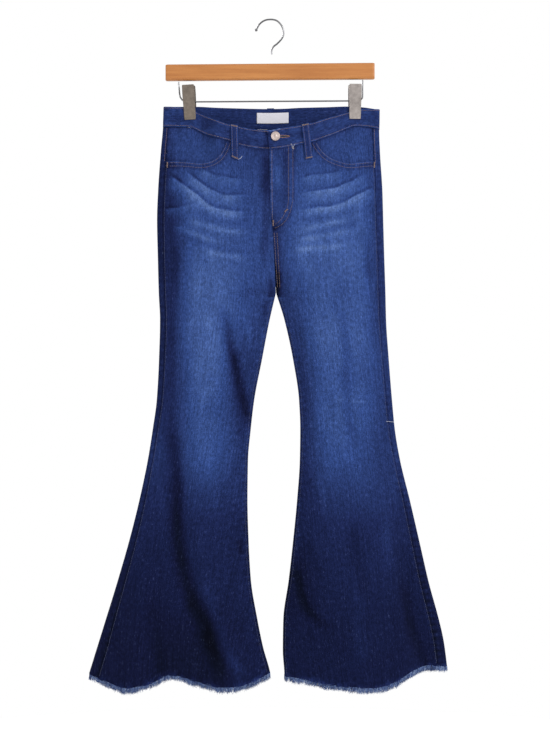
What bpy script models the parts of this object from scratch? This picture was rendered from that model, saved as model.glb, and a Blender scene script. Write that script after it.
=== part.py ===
"""Flared denim jeans hanging by the waistband from a wooden bar hanger with two metal clips.

Frame: the origin is the inner top of the hanger hook, where it rests on a rail.
Z is up, X runs along the bar, and the front of the jeans faces -Y.
"right" and "left" are the wearer's: the wearer's right leg is on the -X side.
Lengths below are in millimetres and become metres in one place, MM.
"""

import math

import bpy
import numpy as np
from mathutils import Matrix, Vector

MM = 0.001

# ---- Driving sizes ---------------------------------------------------------
CLOTH = 1.2  # wall of one layer of heavy denim
BAND_CLOTH = 2.4  # waistband, doubled denim
LOOP_CLOTH = 1.8  # belt loop, folded denim
TAPE = 1.0  # label and zip tape
SEAM_GAP = 0.3  # between two neighbouring pieces
FOLD_RADIUS = 5.0  # the soft fold down each side of a leg
FOLD_SHARE = 0.12  # share of a panel's width coordinate that runs round the fold

WAIST_TOP = 159.8  # drop of the band's top edge at the side, below the hook
WAIST_SEAM = 197.8  # drop of the band's lower edge at the side
CROTCH = 504.5  # drop of the crotch point
CROTCH_START = 385.0  # drop where the seat starts to divide into legs
HEM = 1213.0  # drop of the cut hem at its mean level
SAG_END = 440.0  # drop where the sag of the waist has faded out
FRINGE = 11.0  # reach of the frayed hem

CLIP_X = {-1: -149.5, 1: 157.5}  # where the two clips hold the band
CLIP_LEAN = {-1: 3.4, 1: -0.6}  # lean of each clip, degrees
PINCH_HALF = 16.0  # half width of the band pressed flat by a clip
PINCH_FADE = 40.0  # reach of the press beyond that
PRESSED = 2.6  # depth of each layer at a clip

# Cross-sections by drop below the hook. Outlines are X; depths are from the
# middle plane to the outer face. side_seam is how far the seam sits in front of
# the side fold.
SECTION_COLUMNS = (
    "drop", "right_out", "right_in", "left_in", "left_out",
    "seat_front", "seat_back", "leg_front", "leg_back", "side_seam",
)  # fmt: skip
SECTIONS = (
    (159.8, -196.5, 1.0, 1.0, 202.5, 24, 9, 18, 18, 9.5),
    (197.8, -198.0, 1.0, 1.0, 202.0, 25, 12, 18, 18, 10.0),
    (240.0, -201.7, 1.5, 1.5, 203.5, 26, 19, 20, 20, 10.5),
    (314.0, -207.0, 2.5, 2.5, 208.0, 28, 26, 22, 22, 11.5),
    (369.0, -209.0, 4.5, 4.5, 209.5, 28, 28, 23, 24, 11.5),
    (440.0, -207.5, 8.0, 8.0, 211.5, 26, 27, 22, 24, 11.0),
    (504.5, -205.8, 11.1, 11.1, 213.6, 22, 24, 21, 23, 11.0),
    (554.0, -203.5, -0.5, 26.5, 214.8, 20, 20, 20, 21, 10.5),
    (628.0, -205.4, -14.8, 42.6, 219.8, 20, 20, 19, 20, 10.0),
    (702.0, -209.5, -29.0, 53.5, 225.7, 20, 20, 18, 19, 9.5),
    (757.0, -217.0, -35.5, 55.8, 231.0, 20, 20, 18, 19, 9.0),
    (813.0, -226.0, -40.5, 55.0, 240.5, 20, 20, 19, 20, 9.0),
    (887.0, -241.5, -41.5, 50.0, 258.5, 20, 20, 22, 22, 10.5),
    (961.0, -260.0, -39.5, 42.8, 275.7, 20, 20, 25, 25, 12.0),
    (1035.0, -281.2, -35.2, 34.5, 292.5, 20, 20, 28, 28, 13.5),
    (1109.0, -303.4, -23.5, 24.5, 310.5, 20, 20, 31, 31, 15.0),
    (1165.0, -320.0, -12.5, 23.5, 321.5, 20, 20, 33, 33, 16.0),
    (1213.0, -334.5, 0.5, 26.5, 327.5, 20, 20, 34, 34, 16.0),
    (1250.0, -345.0, 6.0, 26.0, 332.0, 20, 20, 34, 34, 16.0),
)

# Sag of the waist lines below the level of the side, by X.
SAG_COLUMNS = ("x", "front_top", "front_seam", "back")
SAGS = (
    (-200, 0.5, 0.0, 0.0),
    (-161, 1.5, 0.0, 0.0),
    (-148, 5.0, 0.5, 0.0),
    (-135, 10.5, 6.0, 0.0),
    (-112, 21.5, 17.5, 0.5),
    (-75, 36.0, 28.5, 1.5),
    (-57, 40.0, 36.0, 2.0),
    (-37, 44.0, 40.5, 2.5),
    (-4, 47.0, 44.5, 3.0),
    (24, 42.5, 41.5, 2.5),
    (57, 37.5, 34.5, 0.8),
    (78, 33.0, 30.0, 0.3),
    (109, 22.5, 19.0, -0.3),
    (142, 11.5, 3.5, -0.6),
    (157, 7.5, -1.5, -0.2),
    (174, 5.0, -0.5, 1.2),
    (203, 5.3, 4.5, 5.3),
)

# Drop of the cut hem below its mean level, by share of the leg's width, 0 at the
# side fold and 1 at the inseam.
HEM_COLUMNS = ("share", "right_front", "right_back", "left_front", "left_back")
HEMS = (
    (0.00, -2.5, -5.5, -19.0, -19.0),
    (0.09, 8.0, -2.0, -20.0, -16.0),
    (0.21, 18.0, 3.0, -12.0, -7.0),
    (0.33, 11.0, 4.0, 7.5, -1.0),
    (0.46, -6.0, -4.0, 16.5, 4.0),
    (0.59, 5.0, -3.0, 14.0, 2.0),
    (0.72, 18.0, 2.0, 12.0, -1.0),
    (0.86, 13.0, 0.0, 6.0, -2.0),
    (1.00, -4.5, -6.0, 0.0, -3.0),
)
HEM_FADE = 190.0  # height over which the hem's wave dies out upwards

# The largest folds. Each runs down through four points; relief is how far the
# cloth comes out (+) or goes in (-) at the top and at the foot of the fold, and
# reach is its half width.
FOLD_COLUMNS = (
    "side", "face", "x1", "d1", "x2", "d2", "x3", "d3", "x4", "d4",
    "reach", "relief_top", "relief_foot",
)  # fmt: skip
FOLDS = (
    # wearer's right leg, front
    (-1, 1, -170, 760, -164, 880, -147, 1025, -104, 1222, 19, -2.0, -13.0),
    (-1, 1, -205, 900, -212, 1010, -213, 1110, -196, 1222, 20, 0.0, -10.0),
    (-1, 1, -196, 880, -212, 1000, -238, 1110, -268, 1222, 26, 0.0, 8.0),
    (-1, 1, -110, 900, -96, 1010, -78, 1110, -62, 1222, 26, 0.0, 9.0),
    # wearer's left leg, front
    (1, 1, 232, 880, 245, 1010, 262, 1110, 284, 1222, 19, 0.0, -12.0),
    (1, 1, 44, 985, 52, 1030, 66, 1085, 98, 1130, 12, -3.0, -5.0),
    (1, 1, 165, 900, 172, 1010, 170, 1110, 160, 1222, 44, 0.0, 9.0),
    (1, 1, 62, 1050, 66, 1110, 70, 1160, 72, 1222, 20, 0.0, -6.0),
    # wearer's right leg, back
    (-1, -1, -120, 840, -128, 980, -140, 1100, -158, 1222, 24, 0.0, -13.0),
    (-1, -1, -160, 880, -185, 1000, -210, 1110, -238, 1222, 28, 0.0, 9.0),
    (-1, -1, -70, 900, -66, 1010, -60, 1110, -52, 1222, 24, 0.0, 7.0),
    # wearer's left leg, back
    (1, -1, 140, 820, 150, 960, 165, 1090, 186, 1222, 26, 0.0, -13.0),
    (1, -1, 190, 880, 208, 1000, 230, 1110, 252, 1222, 26, 0.0, 9.0),
    (1, -1, 90, 900, 88, 1010, 84, 1110, 80, 1222, 26, 0.0, 8.0),
)

# The scooped pocket mouth, X from the middle of the body outwards, and drop.
MOUTH_COLUMNS = ("x_right", "x_left", "drop")
MOUTH = (
    (-80.5, 85.3, 226.5),
    (-86.0, 94.0, 241.0),
    (-96.0, 110.0, 255.5),
    (-108.5, 129.5, 263.0),
    (-127.5, 146.0, 266.5),
    (-155.5, 174.5, 263.5),
    (-176.0, 186.0, 262.5),
    (-191.0, 194.5, 262.5),
)

# Levels of the panels' grid rows below the pocket mouth.
PANEL_ROWS = (
    330, 385, 440, 480, 504.5, 530, 580, 640, 702, 760, 813,
    865, 915, 965, 1015, 1060, 1105, 1145, 1182, HEM,
)  # fmt: skip

# The grid columns of a front, as shares of its width outside and inside the inner
# end of the pocket mouth, and how many columns a back has.
MOUTH_SHARES = (0, 0.1, 0.22, 0.35, 0.48, 0.61, 0.75, 0.88, 1)
INNER_SHARES = (0.18, 0.36, 0.55, 0.76, 1)
BACK_COLUMNS = 16

# Belt loops: X of the middle at the top and foot, and drops of top and foot.
LOOP_COLUMNS = ("name", "face", "x_top", "x_foot", "drop_top", "drop_foot")
LOOPS = (
    ("belt_loop_front_right", 1, -65.5, -64.0, 158.6, 227.5),
    ("belt_loop_front_left", 1, 64.5, 72.0, 158.6, 229.5),
    ("belt_loop_back_right", -1, -88.0, -88.0, 161.4, 224.0),
    ("belt_loop_back_left", -1, 92.0, 92.0, 161.4, 224.0),
    ("belt_loop_centre_back", -1, 1.0, 1.0, 158.6, 226.0),
)
LOOP_WIDTH = 13.0
LOOP_LIFT = 1.4  # from the panels' face to the loop, clear of the proud band

# Hanger.
BAR_X = (-192.9, 193.3)
BAR_TOP_Z = (-82.3, -79.2)  # at the two ends
BAR_HEIGHT = 30.2
BAR_DEPTH = 14.0
HOOK_WIRE = 1.6  # radius
ROD_WIRE = 1.4  # radius
HOOK_COLUMNS = ("x", "z")
HOOK = (
    (-24.1, -15.4), (-20.3, -8.3), (-11.8, -1.2), (-5.5, 1.0), (1.8, 1.6),
    (10.2, 0.3), (17.8, -5.2), (23.3, -13.5), (25.3, -23.0), (23.9, -29.8),
    (19.8, -36.6), (12.3, -44.2), (5.9, -49.3), (3.2, -55.5), (2.8, -63.0),
)  # fmt: skip
ROD = (
    (-169.0, -114.2), (-167.5, -134.0), (-166.4, -141.5), (-162.6, -147.4),
    (-157.0, -150.2), (-148.0, -151.0), (0.0, -150.0), (150.0, -149.2),
    (162.0, -149.0), (167.8, -147.4), (171.0, -143.5), (171.5, -137.0),
    (171.5, -110.7),
)  # fmt: skip
# A clip's jaw by height along it: outward position of its plate, half width, and
# how far its side flanges reach in.
JAW_COLUMNS = ("along", "out", "half_width", "flange")
JAW = (
    (33.0, 8.6, 10.4, 3.2),
    (31.0, 9.0, 11.2, 4.4),
    (18.0, 8.2, 11.4, 5.0),
    (6.0, 7.0, 11.2, 4.2),
    (-4.5, 5.2, 11.0, 1.4),
    (-8.5, 4.3, 10.8, 0.3),
    (-27.0, 4.0, 10.8, 0.25),
    (-31.0, 4.2, 10.2, 0.25),
)
JAW_METAL = 1.0
CLIP_PIVOT_Z = {-1: -153.4, 1: -152.0}

COLOURS = {
    "denim_band": (0.022, 0.038, 0.135),
    "denim_front": (0.036, 0.072, 0.240),
    "denim_back": (0.034, 0.066, 0.220),
    "denim_dark": (0.020, 0.032, 0.120),
    "fringe": (0.130, 0.200, 0.420),
    "label": (0.780, 0.780, 0.800),
    "tape": (0.020, 0.022, 0.040),
    "button": (0.560, 0.500, 0.440),
    "wood": (0.610, 0.265, 0.105),
    "chrome": (0.550, 0.550, 0.540),
    "pewter": (0.250, 0.225, 0.200),
}


# ---- Numbers from the tables -----------------------------------------------
def column(rows, names, name):
    return np.array([row[names.index(name)] for row in rows], float)


def through(xs, ys, at):
    """A smooth curve through the rows, with no overshoot between them."""
    at = np.asarray(at, float)
    step = np.diff(xs)
    rise = np.diff(ys) / step
    slope = np.zeros(len(xs))
    slope[0], slope[-1] = rise[0], rise[-1]
    same = rise[1:] * rise[:-1] > 0
    slope[1:-1][same] = (
        2 * rise[1:][same] * rise[:-1][same] / (rise[1:] + rise[:-1])[same]
    )
    i = np.clip(np.searchsorted(xs, at) - 1, 0, len(xs) - 2)
    t = np.clip((at - xs[i]) / step[i], 0, 1)
    return (
        (1 + 2 * t) * (1 - t) ** 2 * ys[i]
        + t * (1 - t) ** 2 * step[i] * slope[i]
        + t * t * (3 - 2 * t) * ys[i + 1]
        + t * t * (t - 1) * step[i] * slope[i + 1]
    )


def smooth(t):
    t = np.clip(t, 0, 1)
    return t * t * (3 - 2 * t)


SECTION = {name: column(SECTIONS, SECTION_COLUMNS, name) for name in SECTION_COLUMNS}
SAG = {name: column(SAGS, SAG_COLUMNS, name) for name in SAG_COLUMNS}
HEM_WAVE = {name: column(HEMS, HEM_COLUMNS, name) for name in HEM_COLUMNS}


def section(name, drop):
    return through(SECTION["drop"], SECTION[name], drop)


def edges_of(side, drop):
    """X of the side fold and of the inner line of one half, at this drop."""
    leg = "right" if side < 0 else "left"
    drops, lines = SECTION["drop"], SECTION[leg + "_in"]
    above, below = drops <= CROTCH, drops >= CROTCH
    inner = np.where(
        np.asarray(drop) < CROTCH,
        through(drops[above], lines[above], drop),
        through(drops[below], lines[below], drop),
    )
    return section(leg + "_out", drop), inner + side * SEAM_GAP / 2


def share_to_inset(s, width):
    """Distance in from the side fold for a width coordinate s of 0 to 1."""
    r, f = FOLD_RADIUS, FOLD_SHARE
    turn = np.pi / (2 * f)
    return np.where(
        s < f,
        r * (1 - np.cos(turn * np.minimum(s, f))),
        np.where(
            s > 1 - f,
            width - r * (1 - np.cos(turn * np.minimum(1 - s, f))),
            r + (s - f) / (1 - 2 * f) * (width - 2 * r),
        ),
    )


def inset_to_share(inset, width):
    """The width coordinate at a distance in from the side fold."""
    r, f = FOLD_RADIUS, FOLD_SHARE
    turn = np.pi / (2 * f)
    near = np.arccos(np.clip(1 - inset / r, -1, 1)) / turn
    far = 1 - np.arccos(np.clip(1 - (width - inset) / r, -1, 1)) / turn
    mid = f + (inset - r) / (width - 2 * r) * (1 - 2 * f)
    return np.where(inset < r, near, np.where(inset > width - r, far, mid))


def sag_of(front, x, drop):
    top = through(SAG["x"], SAG["front_top"], x)
    seam = through(SAG["x"], SAG["front_seam"], x)
    band = np.clip((drop - WAIST_TOP) / (WAIST_SEAM - WAIST_TOP), 0, 1)
    fade = 1 - smooth((drop - WAIST_SEAM) / (SAG_END - WAIST_SEAM))
    back = through(SAG["x"], SAG["back"], x)
    return np.where(front, top + (seam - top) * band, back) * fade


def hem_of(side, front, w, drop):
    leg = "right" if side < 0 else "left"
    wave = np.where(
        front,
        through(HEM_WAVE["share"], HEM_WAVE[leg + "_front"], w),
        through(HEM_WAVE["share"], HEM_WAVE[leg + "_back"], w),
    )
    return wave * smooth((drop - HEM + HEM_FADE) / HEM_FADE)


def folds_of(side, face, x, drop, w):
    total = np.zeros_like(x)
    for row in FOLDS:
        fold = dict(zip(FOLD_COLUMNS, row))
        if fold["side"] != side:
            continue
        ds = np.array([fold[f"d{i}"] for i in (1, 2, 3, 4)], float)
        xs = np.array([fold[f"x{i}"] for i in (1, 2, 3, 4)], float)
        t = (drop - ds[0]) / (ds[3] - ds[0])
        relief = fold["relief_top"] + (fold["relief_foot"] - fold["relief_top"]) * t
        fade = smooth((drop - ds[0] + 60) / 90) * (1 - smooth((drop - ds[3]) / 60))
        off = (x - through(ds, xs, drop)) / fold["reach"]
        total += np.where(face == fold["face"], relief * fade * np.exp(-off * off), 0)
    return total * smooth(w / 0.10) * smooth((1 - w) / 0.10)


def pinch_of(x, drop):
    """1 where a clip presses the two layers together, fading to 0."""
    press = np.zeros_like(x)
    for side in (-1, 1):
        away = np.abs(x - CLIP_X[side]) - PINCH_HALF
        press = np.maximum(press, 1 - smooth(away / PINCH_FADE))
    return press * (1 - smooth((drop - 190) / 90))


def surface(side, sigma, drop):
    """Outer face of the jeans: points for one half.

    sigma is 0 at the side fold, +1 at the centre front and -1 at the centre back,
    which in a leg are both the inseam.
    """
    sigma, drop = np.broadcast_arrays(
        np.asarray(sigma, float), np.asarray(drop, float)
    )
    face = np.where(sigma >= 0, 1, -1)
    front = face > 0
    s = np.abs(sigma)
    x_out, x_in = edges_of(side, drop)
    width = np.abs(x_in - x_out)
    inset = share_to_inset(s, width)
    w = inset / width
    x = x_out - side * inset
    r = FOLD_RADIUS
    t = np.clip((drop - CROTCH_START) / (CROTCH - CROTCH_START), 0, 1)
    seat = np.sqrt(1 - t * t)
    leg = 1 - seat
    near = r * np.sqrt(1 - np.clip(1 - inset / r, 0, 1) ** 2)
    far = r * (1 - np.sqrt(1 - np.clip(1 - (width - inset) / r, 0, 1) ** 2))
    seat_depth = np.where(
        front, section("seat_front", drop), section("seat_back", drop)
    )
    leg_depth = np.where(front, section("leg_front", drop), section("leg_back", drop))
    half = w / 2
    bulge = seat * (seat_depth - r) * (4 * half * (1 - half)) ** 0.8
    bulge += leg * (leg_depth - r) * 4 * w * (1 - w)
    depth = near + bulge - leg * far
    press = pinch_of(x, drop)
    depth = depth + (np.minimum(depth, PRESSED) - depth) * press
    fold = folds_of(side, face, x, drop, w)
    depth = np.where(fold < 0, np.maximum(depth + fold, np.minimum(depth, 4)), depth + fold)
    depth = depth + SEAM_GAP / 2 * w
    z = -(drop + sag_of(front, x, drop) + hem_of(side, front, w, drop))
    return np.stack([x, -face * depth, z], -1)


def normals(side, sigma, drop):
    """Outward unit normals of that face."""
    sigma, drop = np.broadcast_arrays(
        np.asarray(sigma, float), np.asarray(drop, float)
    )
    e, f = 0.004, 0.5
    inner = np.clip(sigma, -1 + 2 * e, 1 - 2 * e)
    along = surface(side, inner + e, drop) - surface(side, inner - e, drop)
    down = surface(side, inner, drop + f) - surface(side, inner, drop - f)
    n = np.cross(along, down) * side
    n /= np.linalg.norm(n, axis=-1, keepdims=True)
    return n


def moved(side, sigma, drop, inwards):
    """Points of the face moved in along its normal."""
    return surface(side, sigma, drop) - normals(side, sigma, drop) * np.asarray(
        inwards
    )[..., None]


def drop_at(side, face, x, z):
    """The drop coordinate of a point of the face seen at X and Z."""
    drop = -np.asarray(z, float)
    x = np.asarray(x, float)
    for _ in range(40):
        x_out, x_in = edges_of(side, drop)
        w = np.clip((x - x_out) / (x_in - x_out), 0, 1)
        shift = sag_of(face > 0, x, drop) + hem_of(side, face > 0, w, drop)
        drop = 0.5 * drop + 0.5 * (-np.asarray(z, float) - shift)
    return drop


def sigma_at(side, face, x, drop):
    """The width coordinate of a point of the face at X."""
    x_out, x_in = edges_of(side, drop)
    width = np.abs(x_in - x_out)
    inset = np.clip((x_out - x) * side, 0, width)
    return face * inset_to_share(inset, width)


def seam_sigma(side, drop, gap):
    """The side seam, a little way round on the front, less or more a gap."""
    x_out, x_in = edges_of(side, drop)
    width = np.abs(x_in - x_out)
    inset = section("side_seam", drop) + (1.5 if side > 0 else 0) + gap
    return inset_to_share(inset, width)


def front_line(side, drop):
    """The columns of a front, from the side seam to the centre."""
    start = float(seam_sigma(side, float(drop), 0))
    end = abs(MOUTH[0][0 if side < 0 else 1])
    mouth = float(sigma_at(side, 1, np.float64(side * end), WAIST_SEAM))
    waist = float(seam_sigma(side, WAIST_SEAM, 0))
    share = (mouth - waist) / (1 - waist)
    shares = [share * u for u in MOUTH_SHARES]
    shares += [share + (1 - share) * u for u in INNER_SHARES]
    return start + (1 - start) * np.array(shares)


def back_line(side, level):
    """The columns of a back, from the side seam round the fold to the centre."""
    start = float(seam_sigma(side, max(float(level), 243.0), -SEAM_GAP / 2))
    far = -np.linspace(0, 1, BACK_COLUMNS - 2)
    return np.concatenate([[start, start * 0.5], far])


# ---- Meshes ------------------------------------------------------------------
def fresh_scene():
    for obj in list(bpy.data.objects):
        bpy.data.objects.remove(obj, do_unlink=True)
    for group in list(bpy.data.collections):
        bpy.data.collections.remove(group)


def make_material(name, colour, metallic=0.0, roughness=0.85):
    material = bpy.data.materials.new(name)
    material.use_nodes = True
    shader = material.node_tree.nodes["Principled BSDF"]
    shader.inputs["Base Color"].default_value = (*colour, 1.0)
    shader.inputs["Metallic"].default_value = metallic
    shader.inputs["Roughness"].default_value = roughness
    material.diffuse_color = (*colour, 1.0)
    return material


def add_mesh(group, name, points, faces, material):
    mesh = bpy.data.meshes.new(name)
    mesh.from_pydata([tuple(p * MM) for p in np.asarray(points, float)], [], faces)
    mesh.update()
    mesh.materials.append(material)
    obj = bpy.data.objects.new(name, mesh)
    group.objects.link(obj)
    return obj


def slab(outer, inner, ring=False):
    """A closed wall between two grids of points. ring joins its first and last columns."""
    rows, cols = outer.shape[:2]
    points = np.concatenate([outer.reshape(-1, 3), inner.reshape(-1, 3)])
    count = rows * cols
    faces = []
    spans = cols if ring else cols - 1
    for i in range(rows - 1):
        for j in range(spans):
            a, b = i * cols + j, i * cols + (j + 1) % cols
            c, d = b + cols, a + cols
            faces += [(a, b, c), (a, c, d)]
            faces += [(a + count, c + count, b + count), (a + count, d + count, c + count)]
    for j in range(spans):
        a, b = j, (j + 1) % cols
        faces += [(a, a + count, b + count), (a, b + count, b)]
        a, b = a + (rows - 1) * cols, b + (rows - 1) * cols
        faces += [(a, b + count, a + count), (a, b, b + count)]
    if not ring:
        for i in range(rows - 1):
            a, b = i * cols, (i + 1) * cols
            faces += [(a, b + count, a + count), (a, b, b + count)]
            a, b = a + cols - 1, b + cols - 1
            faces += [(a, a + count, b + count), (a, b + count, b)]
    solid = points[np.array(faces)]
    volume = np.einsum("ij,ij->i", solid[:, 0], np.cross(solid[:, 1], solid[:, 2])).sum()
    if volume < 0:
        faces = [face[::-1] for face in faces]
    return points, faces


def cloth(group, name, side, sigma, drop, inwards, thick, material, ring=False):
    outer = moved(side, sigma, drop, np.full(sigma.shape, inwards))
    inner = moved(side, sigma, drop, np.full(sigma.shape, inwards + thick))
    return add_mesh(group, name, *slab(outer, inner, ring), material)


def front_panel(group, side, material):
    """A front, cut from the pocket mouth, waist seam and side seam to the hem."""
    name = "front_right" if side < 0 else "front_left"
    mouth_x = column(MOUTH, MOUTH_COLUMNS, "x_right" if side < 0 else "x_left")
    mouth_d = column(MOUTH, MOUTH_COLUMNS, "drop")
    cols = len(MOUTH_SHARES) + len(INNER_SHARES)
    rows = len(PANEL_ROWS) + 4
    sigma = np.zeros((rows, cols))
    drop = np.zeros((rows, cols))
    first = PANEL_ROWS[0]
    at_mouth = front_line(side, 262.0)
    for j in range(cols):
        # The column's place across at the mouth's level sets where its top is.
        x_out, x_in = edges_of(side, 262.0)
        x = x_out - side * share_to_inset(at_mouth[j], abs(x_in - x_out))
        top = WAIST_SEAM + SEAM_GAP / 2
        if j < len(MOUTH_SHARES) - 1:
            order = np.argsort(np.abs(mouth_x))
            z = -np.interp(abs(x), np.abs(mouth_x)[order], mouth_d[order])
            top = float(drop_at(side, 1, x, z)) + SEAM_GAP / 2
        drop[:4, j] = top + (first - top) * np.array((0, 0.22, 0.46, 0.72))
        drop[4:, j] = PANEL_ROWS
        sigma[:, j] = [front_line(side, d)[j] for d in drop[:, j]]
    sigma[:, 0] = seam_sigma(side, drop[:, 0], SEAM_GAP / 2)
    return cloth(group, name, side, sigma, drop, 0, CLOTH, material)


def yoke_line(side, sigma):
    """Drop of the yoke's lower seam, lower at the centre back."""
    return 243.0 + 34.0 * np.abs(sigma) ** 1.3


def back_panel(group, side, material):
    """A back, from the side seam on the front, round the side fold to the centre back."""
    name = "back_right" if side < 0 else "back_left"
    cols = BACK_COLUMNS
    levels = np.array((0, 0.5) + PANEL_ROWS, float)
    sigma = np.zeros((len(levels), cols))
    drop = np.zeros_like(sigma)
    for i, level in enumerate(levels):
        line = back_line(side, level)
        sigma[i] = line
        top = yoke_line(side, line) + SEAM_GAP / 2
        top = np.where(line > 0, yoke_line(side, 0) + SEAM_GAP / 2, top)
        drop[i] = top + (PANEL_ROWS[0] - top) * level if level < 1 else level
    return cloth(group, name, side, sigma, drop, 0, CLOTH, material)


def yoke(group, side, material):
    name = "yoke_right" if side < 0 else "yoke_left"
    rows = []
    drops = []
    for t in (0, 0.5, 1):
        line = back_line(side, 0)
        foot = np.where(line > 0, yoke_line(side, 0), yoke_line(side, line)) - SEAM_GAP / 2
        top = np.full(BACK_COLUMNS, WAIST_SEAM + SEAM_GAP / 2)
        rows.append(line)
        drops.append(top + (foot - top) * t)
    return cloth(group, name, side, np.array(rows), np.array(drops), 0, CLOTH, material)


def waistband(group, material):
    """One doubled strip. Its right end runs under its left end at the centre front."""
    pieces = []  # side, sigma at the top edge, sigma at the foot, extra depth
    proud = -0.5
    lap = BAND_CLOTH + SEAM_GAP

    def at(side, x_top, x_foot, extra):
        top = float(sigma_at(side, 1, np.float64(x_top), WAIST_TOP))
        foot = float(sigma_at(side, 1, np.float64(x_foot), WAIST_SEAM))
        pieces.append((side, top, foot, extra))

    def over(side, sigmas, extras=None):
        for i, sigma in enumerate(sigmas):
            pieces.append((side, sigma, sigma, extras[i] if extras else 0))

    fronts = {side: list(front_line(side, WAIST_SEAM)) for side in (-1, 1)}
    backs = {side: list(back_line(side, WAIST_SEAM)[1:]) for side in (-1, 1)}
    for x in (32, 17, 3):
        at(1, x, x, lap)
    under = [lap, lap, lap * 0.5] + [0] * (len(fronts[-1]) - 3)
    over(-1, [0.998] + fronts[-1][-2::-1], under)
    over(-1, backs[-1])
    over(1, backs[1][-2::-1])
    over(1, fronts[1][:-1] + [0.998])
    at(-1, -2, 0.5, 0)
    at(-1, -6.5, -0.5, 0)
    grids = []
    for inwards in (proud, proud + BAND_CLOTH):
        rows = []
        for which, level in ((1, WAIST_TOP), (2, WAIST_SEAM - SEAM_GAP / 2)):
            rows.append(
                [moved(p[0], p[which], level, np.float64(inwards + p[3])) for p in pieces]
            )
        grids.append(np.array(rows))
    return add_mesh(group, "waistband", *slab(*grids), material)


def patch(group, name, side, face, xs, tops, feet, inwards, thick, rows, material):
    """A piece lying on or under a panel, cut between two lines given by X."""
    xs = np.asarray(xs, float)
    sigma = np.zeros((rows, len(xs)))
    drop = np.zeros_like(sigma)
    for i, t in enumerate(np.linspace(0, 1, rows)):
        drop[i] = np.asarray(tops) + (np.asarray(feet) - np.asarray(tops)) * t
        sigma[i] = sigma_at(side, face, xs, drop[i])
    return cloth(group, name, side, sigma, drop, inwards, thick, material)


def pocket_facing(group, side, material):
    """Denim behind the scooped mouth, reaching under the front past the mouth's edge."""
    name = "pocket_facing_right" if side < 0 else "pocket_facing_left"
    cols = len(MOUTH_SHARES) + 1
    drops = WAIST_SEAM + SEAM_GAP / 2 + np.array((0, 24, 48, 70, 92.0))
    sigma = np.array([front_line(side, d)[:cols] for d in drops])
    drop = np.tile(drops[:, None], (1, cols))
    return cloth(group, name, side, sigma, drop, CLOTH + SEAM_GAP, CLOTH, material)


def back_pocket(group, side, material):
    name = "back_pocket_right" if side < 0 else "back_pocket_left"
    mid = 96.0 if side > 0 else -92.0
    xs = mid + np.array([-68, -51, -34, -17, 0, 17, 34, 51, 68.0])
    away = np.abs(xs - mid) / 68
    return patch(
        group, name, side, -1, xs, 292 + 3 * away, 449 - 24 * away, -SEAM_GAP - CLOTH,
        CLOTH, 7, material,
    )


def fly_pieces(group, dark, tape):
    """The zip tape and the shield behind the fly, both under the wearer's left front."""
    for name, x_in, x_out, top, foot, inwards, thick, material in (
        ("zip_tape", 3.0, 27.0, 199.0, 352.0, 1.5, TAPE, tape),
        ("fly_shield", 2.0, 42.0, 199.0, 362.0, 2.8, CLOTH, dark),
    ):
        xs = np.linspace(x_in, x_out, 4)
        patch(group, name, 1, 1, xs, np.full(4, top), np.full(4, foot), inwards, thick, 6, material)


def fringe(group, side, material):
    """The reach of the frayed hem, a short tube under the cut edge."""
    name = "fringe_right" if side < 0 else "fringe_left"
    # Its columns are the panels' own, so that it follows their edge exactly. At the
    # inseam the two faces meet, so they share a point.
    front = front_line(side, HEM)
    back = back_line(side, HEM)
    line = np.concatenate([back[-2:0:-1], front])
    sigma = np.tile(line, (2, 1))
    drop = np.stack([np.full(len(line), HEM + SEAM_GAP), np.full(len(line), HEM + FRINGE)])
    return cloth(group, name, side, sigma, drop, 0, CLOTH, material, ring=True)


def belt_loop(group, row, material):
    loop = dict(zip(LOOP_COLUMNS, row))
    side = -1 if (loop["x_top"] + loop["x_foot"]) < 0 else 1
    half = LOOP_WIDTH / 2
    rows = 6
    grids = []
    for lift in (LOOP_LIFT + LOOP_CLOTH, LOOP_LIFT):
        grid = []
        for t in np.linspace(0, 1, rows):
            level = loop["drop_top"] + (loop["drop_foot"] - loop["drop_top"]) * t
            middle = loop["x_top"] + (loop["x_foot"] - loop["x_top"]) * t
            line = []
            for x in (middle - half, middle, middle + half):
                here = -1 if x < edges_of(-1, level)[1] else 1
                s = sigma_at(here, loop["face"], np.float64(x), level)
                line.append(moved(here, s, level, np.float64(-lift)))
            grid.append(line)
        grids.append(np.array(grid))
    return add_mesh(group, loop["name"], *slab(*grids), material)


def label(group, material):
    """A blank woven label inside the back of the band."""
    grids = []
    for inwards in (BAND_CLOTH - 0.5 + SEAM_GAP, BAND_CLOTH - 0.5 + SEAM_GAP + TAPE):
        grid = []
        for level in (167.0, 177.0, 187.0):
            line = []
            for x in np.linspace(-24.5, 34.4, 6):
                here = -1 if x < 1 else 1
                s = sigma_at(here, -1, np.float64(x), level)
                line.append(moved(here, s, level, np.float64(inwards)))
            grid.append(line)
        grids.append(np.array(grid))
    return add_mesh(group, "label", *slab(*grids), material)


def turned(profile, steps, place):
    """A closed solid of revolution about its own axis, moved by a matrix."""
    points = [(0.0, 0.0, profile[0][1])]
    faces = []
    for r, h in profile[1:-1]:
        for k in range(steps):
            a = 2 * math.pi * k / steps
            points.append((r * math.cos(a), r * math.sin(a), h))
    points.append((0.0, 0.0, profile[-1][1]))
    last = len(points) - 1
    rings = len(profile) - 2
    for k in range(steps):
        n = (k + 1) % steps
        faces.append((0, 1 + n, 1 + k))
        for i in range(rings - 1):
            a, b = 1 + i * steps + k, 1 + i * steps + n
            faces += [(a, b, b + steps), (a, b + steps, a + steps)]
        a, b = 1 + (rings - 1) * steps + k, 1 + (rings - 1) * steps + n
        faces.append((a, b, last))
    moved_points = [tuple(place @ Vector(p)) for p in points]
    return np.array(moved_points), faces


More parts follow.
